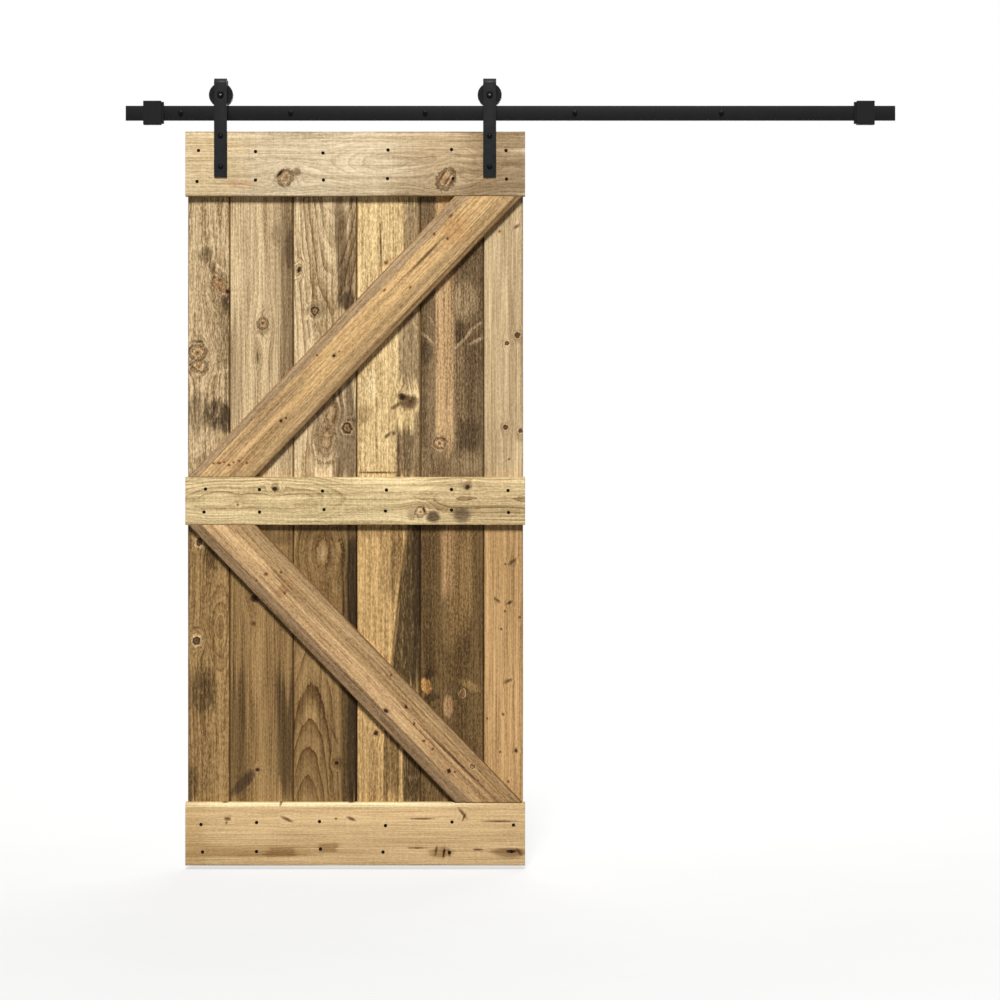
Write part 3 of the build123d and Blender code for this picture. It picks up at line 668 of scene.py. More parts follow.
class TimberSettings(bpy.types.PropertyGroup):
    """Edges and relief of the boards, rails and braces."""

    arris: bpy.props.FloatProperty(
        name="Arris", description="Radius worn on the front edges", default=0.0016, min=0.0002,
        subtype="DISTANCE", unit="LENGTH",
    )
    sill: bpy.props.FloatProperty(
        name="Sill", description="Radius worn on the upper edge of the bottom rail", default=0.008,
        min=0.0002, subtype="DISTANCE", unit="LENGTH",
    )
    waver: bpy.props.FloatProperty(
        name="Waver", description="How far a sawn edge strays from straight", default=0.0005, min=0.0,
        subtype="DISTANCE", unit="LENGTH",
    )
    relief: bpy.props.FloatProperty(
        name="Grain relief", description="Depth of the grain and of the brushed fibres", default=0.0012,
        min=0.0, subtype="DISTANCE", unit="LENGTH",
    )
    sheen: bpy.props.FloatProperty(
        name="Roughness", description="Roughness of the dry timber", default=0.72, min=0.0, max=1.0,
        subtype="FACTOR",
    )


class FixingSettings(bpy.types.PropertyGroup):
    """Nails in the rails, lag bolts in the track and set screws in the stops."""

    nail_width: bpy.props.FloatProperty(
        name="Nail head", description="Width across a nail's head", default=0.0102, min=0.002,
        subtype="DISTANCE", unit="LENGTH",
    )
    nail_rise: bpy.props.FloatProperty(
        name="Nail rise", description="Height of a nail's head above the timber", default=0.0011,
        min=0.0002, subtype="DISTANCE", unit="LENGTH",
    )
    lag_flats: bpy.props.FloatProperty(
        name="Lag flats", description="Width across the flats of a lag bolt's head", default=0.0108,
        min=0.006, subtype="DISTANCE", unit="LENGTH",
    )
    lag_rise: bpy.props.FloatProperty(
        name="Lag rise", description="Height of a lag bolt's head with its flange", default=0.0066,
        min=0.003, subtype="DISTANCE", unit="LENGTH",
    )
    screw_width: bpy.props.FloatProperty(
        name="Set screw", description="Width of a set screw under a stop", default=0.006, min=0.002,
        subtype="DISTANCE", unit="LENGTH",
    )
    screw_pitch: bpy.props.FloatProperty(
        name="Set screw pitch", description="From one set screw of a stop to the other", default=0.026,
        min=0.008, subtype="DISTANCE", unit="LENGTH",
    )
    flange_width: bpy.props.FloatProperty(
        name="Flange", description="Width across a lag bolt's flange", default=0.0148, min=0.008,
        subtype="DISTANCE", unit="LENGTH",
    )


class HardwareSettings(bpy.types.PropertyGroup):
    """Black finish of the track, straps, wheels and stops."""

    black: bpy.props.FloatVectorProperty(
        name="Black", description="Colour of the powder coat", default=(0.0122, 0.0124, 0.0133), size=3,
        min=0.0, max=1.0, subtype="COLOR",
    )
    bolt: bpy.props.FloatVectorProperty(
        name="Bolt", description="Colour of the bolts, nuts and standoffs", default=BOLT_BLACK, size=3,
        min=0.0, max=1.0, subtype="COLOR",
    )
    track: bpy.props.FloatVectorProperty(
        name="Track", description="Colour of the track and its stops", default=(0.0048, 0.0048, 0.005),
        size=3, min=0.0, max=1.0, subtype="COLOR",
    )
    wheel: bpy.props.FloatVectorProperty(
        name="Wheel", description="Colour of the turned wheels", default=(0.006, 0.006, 0.0063), size=3,
        min=0.0, max=1.0, subtype="COLOR",
    )
    rubber: bpy.props.FloatVectorProperty(
        name="Rubber", description="Colour of the stops' buffers", default=(0.007, 0.007, 0.007), size=3,
        min=0.0, max=1.0, subtype="COLOR",
    )
    ease: bpy.props.FloatProperty(
        name="Edge", description="Radius on the edges of the flat bars", default=0.0006, min=0.0001,
        subtype="DISTANCE", unit="LENGTH",
    )


class StageSettings(bpy.types.PropertyGroup):
    """Camera, lamps and floor."""

    distance: bpy.props.FloatProperty(
        name="Camera distance", description="From the camera to the rails' front", default=7.5, min=0.5,
        subtype="DISTANCE", unit="LENGTH",
    )
    floor_gap: bpy.props.FloatProperty(
        name="Floor gap", description="Height of the leaf above the floor", default=0.012, min=0.001,
        subtype="DISTANCE", unit="LENGTH",
    )
    key: bpy.props.FloatProperty(
        name="Key light", description="Strength of the soft light from above the front", default=3.65,
        min=0.0,
    )
    key_height: bpy.props.FloatProperty(
        name="Key height", description="Angle of the key light above level", default=math.radians(46),
        subtype="ANGLE",
    )
    key_softness: bpy.props.FloatProperty(
        name="Key softness", description="Angle that the key light fills", default=math.radians(16),
        subtype="ANGLE",
    )
    back: bpy.props.FloatProperty(
        name="Back lamp", description="Power of the lamp behind the door", default=70.0, min=0.0,
        unit="POWER",
    )
    sky: bpy.props.FloatProperty(
        name="Room light", description="Strength of the even light all round", default=0.075, min=0.0,
    )


class Value:
    """A socket of a node tree; Python's operators add the Math nodes between values."""

    def __init__(self, nodes, socket):
        self.nodes = nodes
        self.socket = socket

    def math(self, operation, *others):
        return self.nodes.maths(operation, self, *others)

    def output(self, name):
        return Value(self.nodes, self.socket.node.outputs[name])

    def __add__(self, other):
        return self.math("ADD", other)

    def __mul__(self, other):
        return self.math("MULTIPLY", other)

    def __sub__(self, other):
        return self.math("SUBTRACT", other)

    def __rsub__(self, other):
        return self.nodes.maths("SUBTRACT", other, self)

    def __truediv__(self, other):
        return self.math("DIVIDE", other)

    def __pow__(self, other):
        return self.math("POWER", other)

    __radd__ = __add__
    __rmul__ = __mul__


class Nodes:
    """A node tree and the one way in which its nodes are made."""

    def __init__(self, tree):
        self.tree = tree

    def add(self, kind, settings, sockets, output=0):
        node = self.tree.nodes.new(kind)
        for name, value in settings.items():
            if name == "stops":
                set_stops(node.color_ramp, value)
            else:
                setattr(node, name, value)
        for name, value in sockets.items():
            self.feed(node.inputs[name], value)
        return Value(self, node.outputs[output])

    def feed(self, socket, value):
        if isinstance(value, Value):
            self.tree.links.new(value.socket, socket)
        elif socket.type == "RGBA":
            socket.default_value = (*value, 1.0)
        else:
            socket.default_value = value

    def maths(self, operation, *values):
        return self.add("ShaderNodeMath", {"operation": operation}, dict(enumerate(values)))

    def split(self, vector):
        x = self.add("ShaderNodeSeparateXYZ", {}, {"Vector": vector}, "X")
        return x, x.output("Y"), x.output("Z")

    def join(self, x, y, z):
        return self.add("ShaderNodeCombineXYZ", {}, {"X": x, "Y": y, "Z": z})

    def mix(self, first, second, factor, blend="MIX"):
        settings = {"data_type": "RGBA", "blend_type": blend}
        return self.add("ShaderNodeMix", settings, {0: factor, 6: first, 7: second}, 2)

    def noise(self, vector, scale, detail, seed):
        moved = {"Vector": vector, "Location": (seed,) * 3, "Scale": scale}
        placed = self.add("ShaderNodeMapping", {}, moved)
        sockets = {"Vector": placed, "Scale": 1.0, "Detail": detail, "Roughness": NOISE_ROUGHNESS}
        return self.add("ShaderNodeTexNoise", {}, sockets)

    def step(self, value, start, end):
        sockets = {"Value": value, "From Min": start, "From Max": end}
        return self.add("ShaderNodeMapRange", {"interpolation_type": "SMOOTHSTEP"}, sockets)

    def pattern(self, vector, kind, seed=0.0):
        grey = self.noise(vector, kind.scale, kind.detail, seed + kind.seed)
        return self.step(grey, kind.start, kind.end) if kind.end else grey

    def local(self, vector, place, turn, scale):
        sockets = {"Vector": vector, "Location": place, "Rotation": (0, turn, 0), "Scale": scale}
        return self.add("ShaderNodeMapping", {"vector_type": "TEXTURE"}, sockets)

    def length(self, vector):
        return self.add("ShaderNodeVectorMath", {"operation": "LENGTH"}, {"Vector": vector}, "Value")


def set_stops(ramp, stops):
    """Gives a colour ramp its stops, each a position and a colour with its alpha."""
    while len(ramp.elements) < len(stops):
        ramp.elements.new(1.0)
    for element, (position, colour) in zip(ramp.elements, stops):
        element.position = position
        element.color = colour


class Finish(Nodes):
    """A procedural material that reads Object coordinates."""

    def __init__(self, name):
        self.material = bpy.data.materials.new(name)
        self.material.use_nodes = True
        super().__init__(self.material.node_tree)
        self.surface = self.tree.nodes["Principled BSDF"]
        self.point = self.add("ShaderNodeTexCoord", {}, {}, "Object")

    def dress(self, **sockets):
        for name, value in sockets.items():
            self.feed(self.surface.inputs[name.replace("_", " ")], value)
        return self.material

    def bump(self, height, distance, strength):
        sockets = {"Height": height, "Distance": distance, "Strength": strength}
        return self.add("ShaderNodeBump", {}, sockets)


def oval(finish, mark):
    """Each point's place from the middle of a knot or stain, in halves of its width and height."""
    x, z = spot(mark.px, mark.py)
    scale = (mark.wide * PIXEL, THROUGH, mark.tall * PIXEL)
    return finish.local(finish.point, (x, 0, z), math.radians(mark.lean), scale)


def knot_distances(finish, timber):
    """Distance from each knot's middle, 1 at its rim, with an uneven rim."""
    gnarl = (finish.pattern(finish.point, KNOT_GNARL, timber.seed) - 0.5) * GNARL_SWING
    return [finish.length(oval(finish, knot)) + gnarl for knot in timber.knots]


def part_round_knots(finish, grain, across, timber, axes):
    """Distance across the grain, with the fibres parted round the knots that turn them."""
    parted = across
    into = axes.inverted()
    for knot in timber.knots:
        if knot.flow:
            x, z = spot(knot.px, knot.py)
            place = into @ Vector((x, axes.translation.y, z))
            width = FLOW_WIDTHS * max(knot.wide, FLOW_SLIMNESS * knot.tall) * PIXEL
            reach = (width, THROUGH, knot.flow * PIXEL)
            near = finish.length(finish.local(grain, (place.x, 0, place.z), 0.0, reach))
            parted = parted - (across - place.x) * finish.step(near, 1.0, 0.0) * FLOW_SHARE
    return parted


def lay_stains_and_painted_light(finish, colour, timber, level, front, cloud, streak, fleck):
    """Colour with the timber's stained patches and its painted shade and highlight laid over it, ragged along
    the grain and broken by flecks.
    """
    unflecked = 1 - fleck * (timber.fleck * STAIN_FLECKS)
    for stain in timber.stains_and_painted_light:
        place = oval(finish, stain)
        if stain.square:
            folded = finish.add("ShaderNodeVectorMath", {"operation": "ABSOLUTE"}, {"Vector": place})
            wide, _, tall = finish.split(folded)
            run, side, reach = (wide, tall, stain.wide) if level else (tall, wide, stain.tall)
            rag = min(STAIN_RAG / (reach * PIXEL), STAIN_RAG_MOST)
            near = side.math("MAXIMUM", run + (streak - 0.5) * rag)
        else:
            near = finish.length(place)
        edge = near + (cloud - 0.5) * (STAIN_CLOUD * stain.soft)
        edge = edge + (streak - 0.5) * (STAIN_STREAK * stain.soft)
        fade = stain.soft * STAIN_EDGE
        cover = finish.step(edge, 1.0 + fade, 1.0 - fade) * stain.strength
        colour = finish.mix(colour, stain.colour, cover * front * unflecked)
    return colour


def set_knots(finish, colour, timber, distances):
    """Colour with the timber's knots, and how far a knot covers each point."""
    cover = 0.0
    for knot, near in zip(timber.knots, distances):
        stops = [(place, (*tint, strength)) for place, tint, strength in KNOT_LOOKS[knot.look]]
        look = finish.add("ShaderNodeValToRGB", {"stops": stops}, {"Fac": near / KNOT_REACH})
        alpha = look.output("Alpha")
        colour = finish.mix(colour, look, alpha)
        cover = alpha + cover
    return colour, cover


def count_rings(finish, timber, fibres, distances, seed):
    """Growth rings between the log's pith and each point, with the knots' own rings round them."""
    across, depth, along = finish.split(fibres)
    wander = finish.pattern(fibres, LOG_WANDER, seed) - 0.5
    roll = finish.pattern(finish.join(0.0, 0.0, along), LOG_ROLL, seed) - 0.5
    ripple = finish.pattern(fibres, RING_RIPPLE, seed) - 0.5
    heart = across - along * timber.lean - timber.pith + wander * PITH_WANDER
    rise = depth + roll * timber.roll - along * along * timber.bow + timber.depth
    rings = (heart * heart + rise * rise).math("SQRT") * timber.rings + ripple * RIPPLE_RINGS
    for knot, near in zip(timber.knots, distances):
        if knot.flow:
            rings = rings + finish.step(near, *KNOT_CROWD) * KNOT_RINGS
    return rings


def wood_colour(finish, timber, axes, along, front):
    """Colour of the timber before its marks, with the boards' change of tone at the middle rail."""
    if not timber.low:
        return timber.pale
    middle = (sum(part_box("middle_rail"), Vector()) / 2).z - axes.translation.z
    behind = finish.step(along, middle + BACK_CHANGE, middle - BACK_CHANGE)
    ahead = finish.step(along, middle + FRONT_CHANGE, middle - FRONT_CHANGE)
    return finish.mix(timber.pale, timber.low, behind + (ahead - behind) * front)


def wood_tint(finish, timber, grain, inset, cloud, swings):
    """Tint that shades the wood: the swings of its patterns, saw marks, pits and darker rims."""
    seed = timber.seed * SEED_STEP
    shade = sum((pattern - mean) * share for pattern, mean, share in swings) + SHADE_MEAN
    if timber.saw:
        shade = shade + (finish.pattern(grain, SAW_MARKS, seed) - 0.5) * timber.saw
    if timber.pits:
        shade = shade - finish.pattern(grain, PITS, seed) * finish.step(cloud, *PIT_PATCHES) * timber.pits
    shade = shade * (1 - finish.step(inset, RIM_WIDTH, 0.0) * timber.rim)
    level = (shade - SHADE_LOW[0]) * (1 / (SHADE_HIGH[0] - SHADE_LOW[0]))
    return finish.mix(SHADE_LOW, SHADE_HIGH, level)


def timber_finish(name, timber, axes, face, settings):
    """Sawn and brushed softwood: rings, streaks, flecks, stained patches with painted shade and a painted
    highlight in places, and knots along the piece's grain.
    """
    finish = Finish(name)
    seed = timber.seed * SEED_STEP
    turn = axes.to_euler().y
    grain = finish.local(finish.point, axes.translation, turn, (1, 1, 1))
    across, depth, along = finish.split(grain)
    fibres = finish.join(part_round_knots(finish, grain, across, timber, axes), depth, along)
    cloud = finish.pattern(fibres, CLOUDS, seed)
    streak = finish.pattern(fibres, STREAKS, seed)
    fibre = finish.pattern(fibres, FIBRES, seed)
    fleck = finish.pattern(fibres, FLECKS, seed)
    grit = finish.pattern(grain, GRIT, seed)
    distances = knot_distances(finish, timber)
    rings = count_rings(finish, timber, fibres, distances, seed)
    band = finish.pattern(finish.join(rings, 0.0, along), RING_BANDS, seed)
    late = rings.math("FRACT") ** LATE_SHARPNESS * finish.pattern(fibres, RING_PATCHES, seed)
    front = finish.step(depth, *FRONT_DEPTHS) * (1 - BACK_SHARE) + BACK_SHARE
    colour = wood_colour(finish, timber, axes, along, front)
    colour = lay_stains_and_painted_light(finish, colour, timber, turn > 1.0, front, cloud, streak, fleck)
    colour = finish.mix(colour, LATE_TINT, late * timber.contrast, "MULTIPLY")
    colour, knots = set_knots(finish, colour, timber, distances)
    swings = (
        (cloud, 0.5, timber.mottle),
        (streak, 0.5, timber.streak),
        (band, 0.5, timber.contrast * BAND_SHARE),
        (fibre, 0.5, timber.fibre),
        (fleck, FLECK_MEAN, timber.fleck * FLECK_SHARE),
        (grit, 0.5, timber.grit),
    )
    inset = (across - face[0]).math("MINIMUM", face[1] - across)
    tint = wood_tint(finish, timber, grain, inset, cloud, swings)
    layers = (fibre, grit, streak, 1 - late, fleck, knots)
    height = sum(layer * share for layer, share in zip(layers, RELIEF_SHARES))
    return finish.dress(
        Base_Color=finish.mix(colour, tint, 1.0, "MULTIPLY"),
        Roughness=settings.sheen + (fibre - 0.5) * FIBRE_ROUGHNESS - late * LATE_GLOSS,
        Specular_IOR_Level=WOOD_GLEAM,
        Normal=finish.bump(height, settings.relief, WOOD_BUMP),
    )


def coat_finish(name, coat, colour, socket=None):
    """Black coating: fine orange peel, a dusting of grey, uneven gloss, and a painted highlight in a socket.
    """
    finish = Finish(name)
    fine = finish.pattern(finish.point, PEEL)
    dust = finish.pattern(finish.point, DUST)
    scuff = finish.pattern(finish.point, SCUFFS)
    dusty = tuple(c * DUST_GAIN + DUST_LIFT for c in colour)
    shade = finish.mix(colour, dusty, finish.step(dust, *DUST_SPAN))
    shade = finish.mix(shade, coat.worn, finish.step(scuff, *SCUFF_SPAN) * SCUFF_COVER)
    # Painted highlight: a pale disc over the socket on the bolt's axis.
    if socket:
        reach = (SOCKET_RADIUS, THROUGH, SOCKET_RADIUS)
        near = finish.length(finish.local(finish.point, socket, 0.0, reach))
        shade = finish.mix(shade, PAINTED_SOCKET_HIGHLIGHT, finish.step(near, *SOCKET_RIM))
    return finish.dress(
        Base_Color=shade,
        Roughness=(dust - 0.5) * DUST_GLOSS + (fine - 0.5) * PEEL_GLOSS + coat.rough,
        Specular_IOR_Level=coat.gleam,
        Normal=finish.bump(fine * PEEL_RELIEF + scuff * SCUFF_RELIEF, coat.peel, COAT_BUMP),
    )


def make_piece(name, bm, material, body, replaced=()):
    """Makes a bmesh an object of its own that rides on a body, with soft shading up to its edges."""
    for face in bm.faces:
        face.smooth = True
    mesh = bpy.data.meshes.new(name)
    bm.to_mesh(mesh)
    bm.free()
    mesh.set_sharp_from_angle(angle=SHARP_SHADING)
    mesh.materials.append(material)
    piece = bpy.data.objects.new(name, mesh)
    bpy.context.scene.collection.objects.link(piece)
    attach(piece, body)
    if replaced:
        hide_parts(*replaced)
    return piece


def dress_node(node, material):
    """Gives a solid's own object a finish."""
    slots = bpy.data.objects[node].data.materials
    slots.clear()
    slots.append(material)


def draw_face(bm, face, travel):
    """Draws a face out along a vector, and gives the far face and its corners."""
    drawn = bmesh.ops.extrude_face_region(bm, geom=[face])["geom"]
    moved = [item for item in drawn if isinstance(item, bmesh.types.BMVert)]
    bmesh.ops.translate(bm, verts=moved, vec=travel)
    return next(item for item in drawn if isinstance(item, bmesh.types.BMFace)), moved


def draw_out(outline, travel):
    """A bmesh of a flat outline of points, drawn out to a solid along a vector."""
    bm = bmesh.new()
    draw_face(bm, bm.faces.new([bm.verts.new(point) for point in outline]), travel)
    bmesh.ops.recalc_face_normals(bm, faces=bm.faces)
    return bm


def ease_edges(bm, edges, radius, segments=3):
    """Rounds edges of a bmesh."""
    bmesh.ops.bevel(
        bm, geom=edges, offset=radius, offset_type="OFFSET", segments=segments, profile=0.5,
        affect="EDGES", material=-1,
    )


def waver_edges(bm, axes, amount, seed):
    """Cuts the long edges of a piece of timber and lets them stray a little across the grain."""
    grain = axes.col[2].xyz
    side = axes.col[0].xyz
    long_edges = []
    for edge in bm.edges:
        run = edge.verts[1].co - edge.verts[0].co
        if run.length > LONG_EDGE and abs(run.normalized() @ grain) > ALONG_GRAIN:
            long_edges.append(edge)
    bmesh.ops.subdivide_edges(bm, edges=long_edges, cuts=WAVER_CUTS)
    ends = [(vert.co - axes.translation) @ grain for vert in bm.verts]
    low = min(ends) + STEADY_END
    high = max(ends) - STEADY_END
    for vert in bm.verts:
        away = vert.co - axes.translation
        along = away @ grain
        if low < along < high:
            hand = math.copysign(1.0, away @ side)
            stray = sum(
                strength * noise.noise(Vector((seed * piece_step, hand * side_step, along * rate)))
                for strength, piece_step, side_step, rate in WAVES
            )
            vert.co += side * (hand * amount * min(0.0, stray - WAVER_BIAS))


def piece_axes(low, high, turn):
    """Place and turn of a piece of timber: local X across the grain and local Z along it."""
    return Matrix.Translation((low + high) / 2) @ Matrix.Rotation(turn, 4, "Y")


def board_plan(low, high, grooved, tongued):
    """Plan of a tongue-and-groove board, as points at its foot."""
    right = high.x - (TONGUE_LENGTH if tongued else 0.0)
    middle = (low.y + high.y) / 2
    plan = [(low.x, low.y), (right, low.y)]
    if tongued:
        front = middle - TONGUE_THICKNESS / 2
        back = middle + TONGUE_THICKNESS / 2
        plan += [(right, front), (high.x, front), (high.x, back), (right, back)]
    plan += [(right, high.y), (low.x, high.y)]
    if grooved:
        front = middle - GROOVE_HEIGHT / 2
        back = middle + GROOVE_HEIGHT / 2
        floor = low.x + GROOVE_DEPTH
        plan += [(low.x, back), (floor, back), (floor, front), (low.x, front)]
    return [(x, y, low.z) for x, y in plan]


def front_edges(bm, front):
    """Edges of a bmesh that lie in the plane of its front."""
    return [edge for edge in bm.edges if all(abs(vert.co.y - front) < TOUCH for vert in edge.verts)]


def sharp_edges(bm):
    """Edges of a bmesh where its faces turn sharply."""
    return [edge for edge in bm.edges if edge.calc_face_angle(0.0) > SHARP_EDGE]


def lay_plank(node, bm, axes, face, look, settings):
    """Lets the sawn edges of a piece of timber stray, and lays it in its node's place with its own finish."""
    timber = TIMBERS[node]
    waver_edges(bm, axes, settings.waver, timber.seed)
    finish = timber_finish(look + node, timber, axes, face, settings)
    make_piece(node + "_plank", bm, finish, "leaf", (node,))


def brace_cut(span, rise):
    """Length of a brace's level end cut, for a brace that spans corner to corner."""
    reach = rise * math.sqrt(span**2 + rise**2 - BRACE_WIDTH**2)
    return BRACE_WIDTH * (reach - BRACE_WIDTH * span) / (rise**2 - BRACE_WIDTH**2)


class BARNDOOR_OT_boards(bpy.types.Operator):
    """Makes the six upright tongue-and-groove boards"""

    bl_idname = "barndoor.boards"
    bl_label = "Boards"

    def execute(self, context):
        settings = context.scene.barn_timber
        for index, node in enumerate(BOARDS):
            low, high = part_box(node)
            axes = piece_axes(low, high, 0.0)
            tongued = index < len(BOARDS) - 1
            plan = board_plan(low, high, index > 0, tongued)
            bm = draw_out(plan, (0, 0, high.z - low.z))
            ease_edges(bm, front_edges(bm, low.y), settings.arris)
            half = (high.x - low.x) / 2
            face = (-half, half - (TONGUE_LENGTH if tongued else 0.0))
            lay_plank(node, bm, axes, face, "weathered_", settings)
        return {"FINISHED"}


class BARNDOOR_OT_rails(bpy.types.Operator):
    """Makes the three rails across the boards"""

    bl_idname = "barndoor.rails"
    bl_label = "Rails"

    def execute(self, context):
        settings = context.scene.barn_timber
        for node in RAILS:
            low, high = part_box(node)
            axes = piece_axes(low, high, math.pi / 2)
            corners = ((low.x, low.z), (high.x, low.z), (high.x, high.z), (low.x, high.z))
            bm = draw_out([(x, high.y, z) for x, z in corners], (0, low.y - high.y, 0))
            sill = settings.sill if node == "bottom_rail" else settings.arris
            self.ease_front(bm, low.y, high.z, sill, settings.arris)
            half = (high.z - low.z) / 2
            lay_plank(node, bm, axes, (-half, half), "sawn_", settings)
        return {"FINISHED"}

    def ease_front(self, bm, front, top, sill, arris):
        """Rounds the upper front edge by the sill's radius and the other front edges by the arris's."""
        level = top - TOUCH
        upper = [edge for edge in front_edges(bm, front) if all(vert.co.z > level for vert in edge.verts)]
        ease_edges(bm, upper, sill, SILL_SEGMENTS)
        reach = front + sill + TOUCH
        others = [edge for edge in sharp_edges(bm) if all(vert.co.y < reach for vert in edge.verts)]
        ease_edges(bm, others, arris)


class BARNDOOR_OT_braces(bpy.types.Operator):
    """Makes the two diagonal braces between the rails"""

    bl_idname = "barndoor.braces"
    bl_label = "Braces"

    def execute(self, context):
        settings = context.scene.barn_timber
        for node, hand in zip(BRACES, (1, -1)):
            low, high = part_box(node)
            span = high.x - low.x
            rise = high.z - low.z
            cut = brace_cut(span, rise)
            foot, head = (low.z, high.z) if hand > 0 else (high.z, low.z)
            axes = piece_axes(low, high, hand * math.atan2(span - cut, rise))
            corners = ((low.x, foot), (low.x + cut, foot), (high.x, head), (high.x - cut, head))
            bm = draw_out([(x, high.y, z) for x, z in corners], (0, low.y - high.y, 0))
            ease_edges(bm, front_edges(bm, low.y), settings.arris)
            face = (-BRACE_WIDTH / 2, BRACE_WIDTH / 2)
            lay_plank(node, bm, axes, face, "sawn_", settings)
        return {"FINISHED"}


def spin_round(bm, profile, radius, rise, place, steps):
    """Spins a head's profile, in shares of its radius and its rise off a front, round an axis along Y."""
    x, front, z = place
    verts = [bm.verts.new((x + radius * out, front - rise * up, z)) for out, up in profile]
    edges = [bm.edges.new(pair) for pair in zip(verts, verts[1:])]
    bmesh.ops.spin(
        bm, geom=verts + edges, cent=(x, 0, z), axis=(0, 1, 0), angle=2 * math.pi, steps=steps,
        use_merge=True,
    )


def close_up(bm):
    """Merges a spun mesh's poles and turns its faces outwards."""
    bmesh.ops.remove_doubles(bm, verts=bm.verts, dist=TOUCH)
    bmesh.ops.recalc_face_normals(bm, faces=bm.faces)


class BARNDOOR_OT_nails(bpy.types.Operator):
    """Drives two rows of nails through each rail"""

    bl_idname = "barndoor.nails"
    bl_label = "Nails"

    def execute(self, context):
        settings = context.scene.barn_fixings
        black = coat_finish("blackened_nail", NAIL_COAT, NAIL_BLACK)
        for rail, places in NAILS.items():
            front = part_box(rail)[0].y
            bm = bmesh.new()
            for px, py in places:
                x, z = spot(px, py)
                place = (x, front, z)
                spin_round(bm, NAIL_PROFILE, settings.nail_width / 2, settings.nail_rise, place, NAIL_STEPS)
            close_up(bm)
            make_piece(rail + "_nails", bm, black, "leaf")
        return {"FINISHED"}


class BARNDOOR_OT_lag_bolts(bpy.types.Operator):
    """Screws a flanged lag bolt through the track into each standoff"""

    bl_idname = "barndoor.lag_bolts"
    bl_label = "Lag bolts"

    def execute(self, context):
        settings = context.scene.barn_fixings
        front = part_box("track")[0].y
        black = coat_finish("lag_bolt_black", LAG_COAT, BOLT_BLACK)
        sill = settings.lag_rise * FLANGE_SHARE
        bm = bmesh.new()
        for node in STANDOFFS:
            middle = sum(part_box(node), Vector()) / 2
            place = (middle.x, front, middle.z)
            spin_round(bm, FLANGE_PROFILE, settings.flange_width / 2, sill, place, FLANGE_STEPS)
            self.hex_head(bm, settings, front - sill * HEAD_FOOT, front - settings.lag_rise, middle)
        close_up(bm)
        make_piece("lag_bolts", bm, black, "track")
        return {"FINISHED"}

    def hex_head(self, bm, settings, foot, top, middle):
        """Adds a six-sided head with an eased crown."""
        radius = settings.lag_flats / math.sqrt(3)
        place = Matrix.Translation((middle.x, foot, middle.z)) @ Matrix.Rotation(math.pi / 2, 4, "X")
        base = bmesh.ops.create_circle(bm, cap_ends=True, segments=6, radius=radius, matrix=place)
        _, moved = draw_face(bm, base["verts"][0].link_faces[0], (0, top - foot, 0))
        crown = [edge for edge in bm.edges if all(vert in moved for vert in edge.verts)]
        ease_edges(bm, crown, radius * CROWN_EASE, 2)


class BARNDOOR_OT_set_screws(bpy.types.Operator):
    """Sets two socket screws in the underside of each stop"""

    bl_idname = "barndoor.set_screws"
    bl_label = "Set screws"

    def execute(self, context):
        settings = context.scene.barn_fixings
        radius = settings.screw_width / 2
        bar = sum(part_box("track"), Vector()) / 2
        black = coat_finish("set_screw_black", SCREW_COAT, BOLT_BLACK)
        for node in STOPS:
            low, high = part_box(node)
            bm = bmesh.new()
            for hand in (-1, 1):
                x = (low.x + high.x + hand * settings.screw_pitch) / 2
                self.socket_screw(bm, radius, Vector((x, bar.y, low.z)))
            bmesh.ops.recalc_face_normals(bm, faces=bm.faces)
            make_piece(node + "_set_screws", bm, black, "track")
        return {"FINISHED"}

    def socket_screw(self, bm, radius, place):
        """Adds a screw's end with a round socket, just proud of the stop."""
        seat = Matrix.Translation(place + Vector((0, 0, radius * SCREW_SEAT)))
        ring = bmesh.ops.create_circle(
            bm, cap_ends=True, segments=SCREW_STEPS, radius=radius, matrix=seat,
        )
        end, _ = draw_face(bm, ring["verts"][0].link_faces[0], (0, 0, -radius * SCREW_LENGTH))
        bmesh.ops.inset_individual(bm, faces=[end], thickness=radius * SCREW_CHAMFER, depth=0.0)
        bmesh.ops.inset_individual(
            bm, faces=[end], thickness=radius * SCREW_RIM, depth=radius * SOCKET_DEPTH,
        )


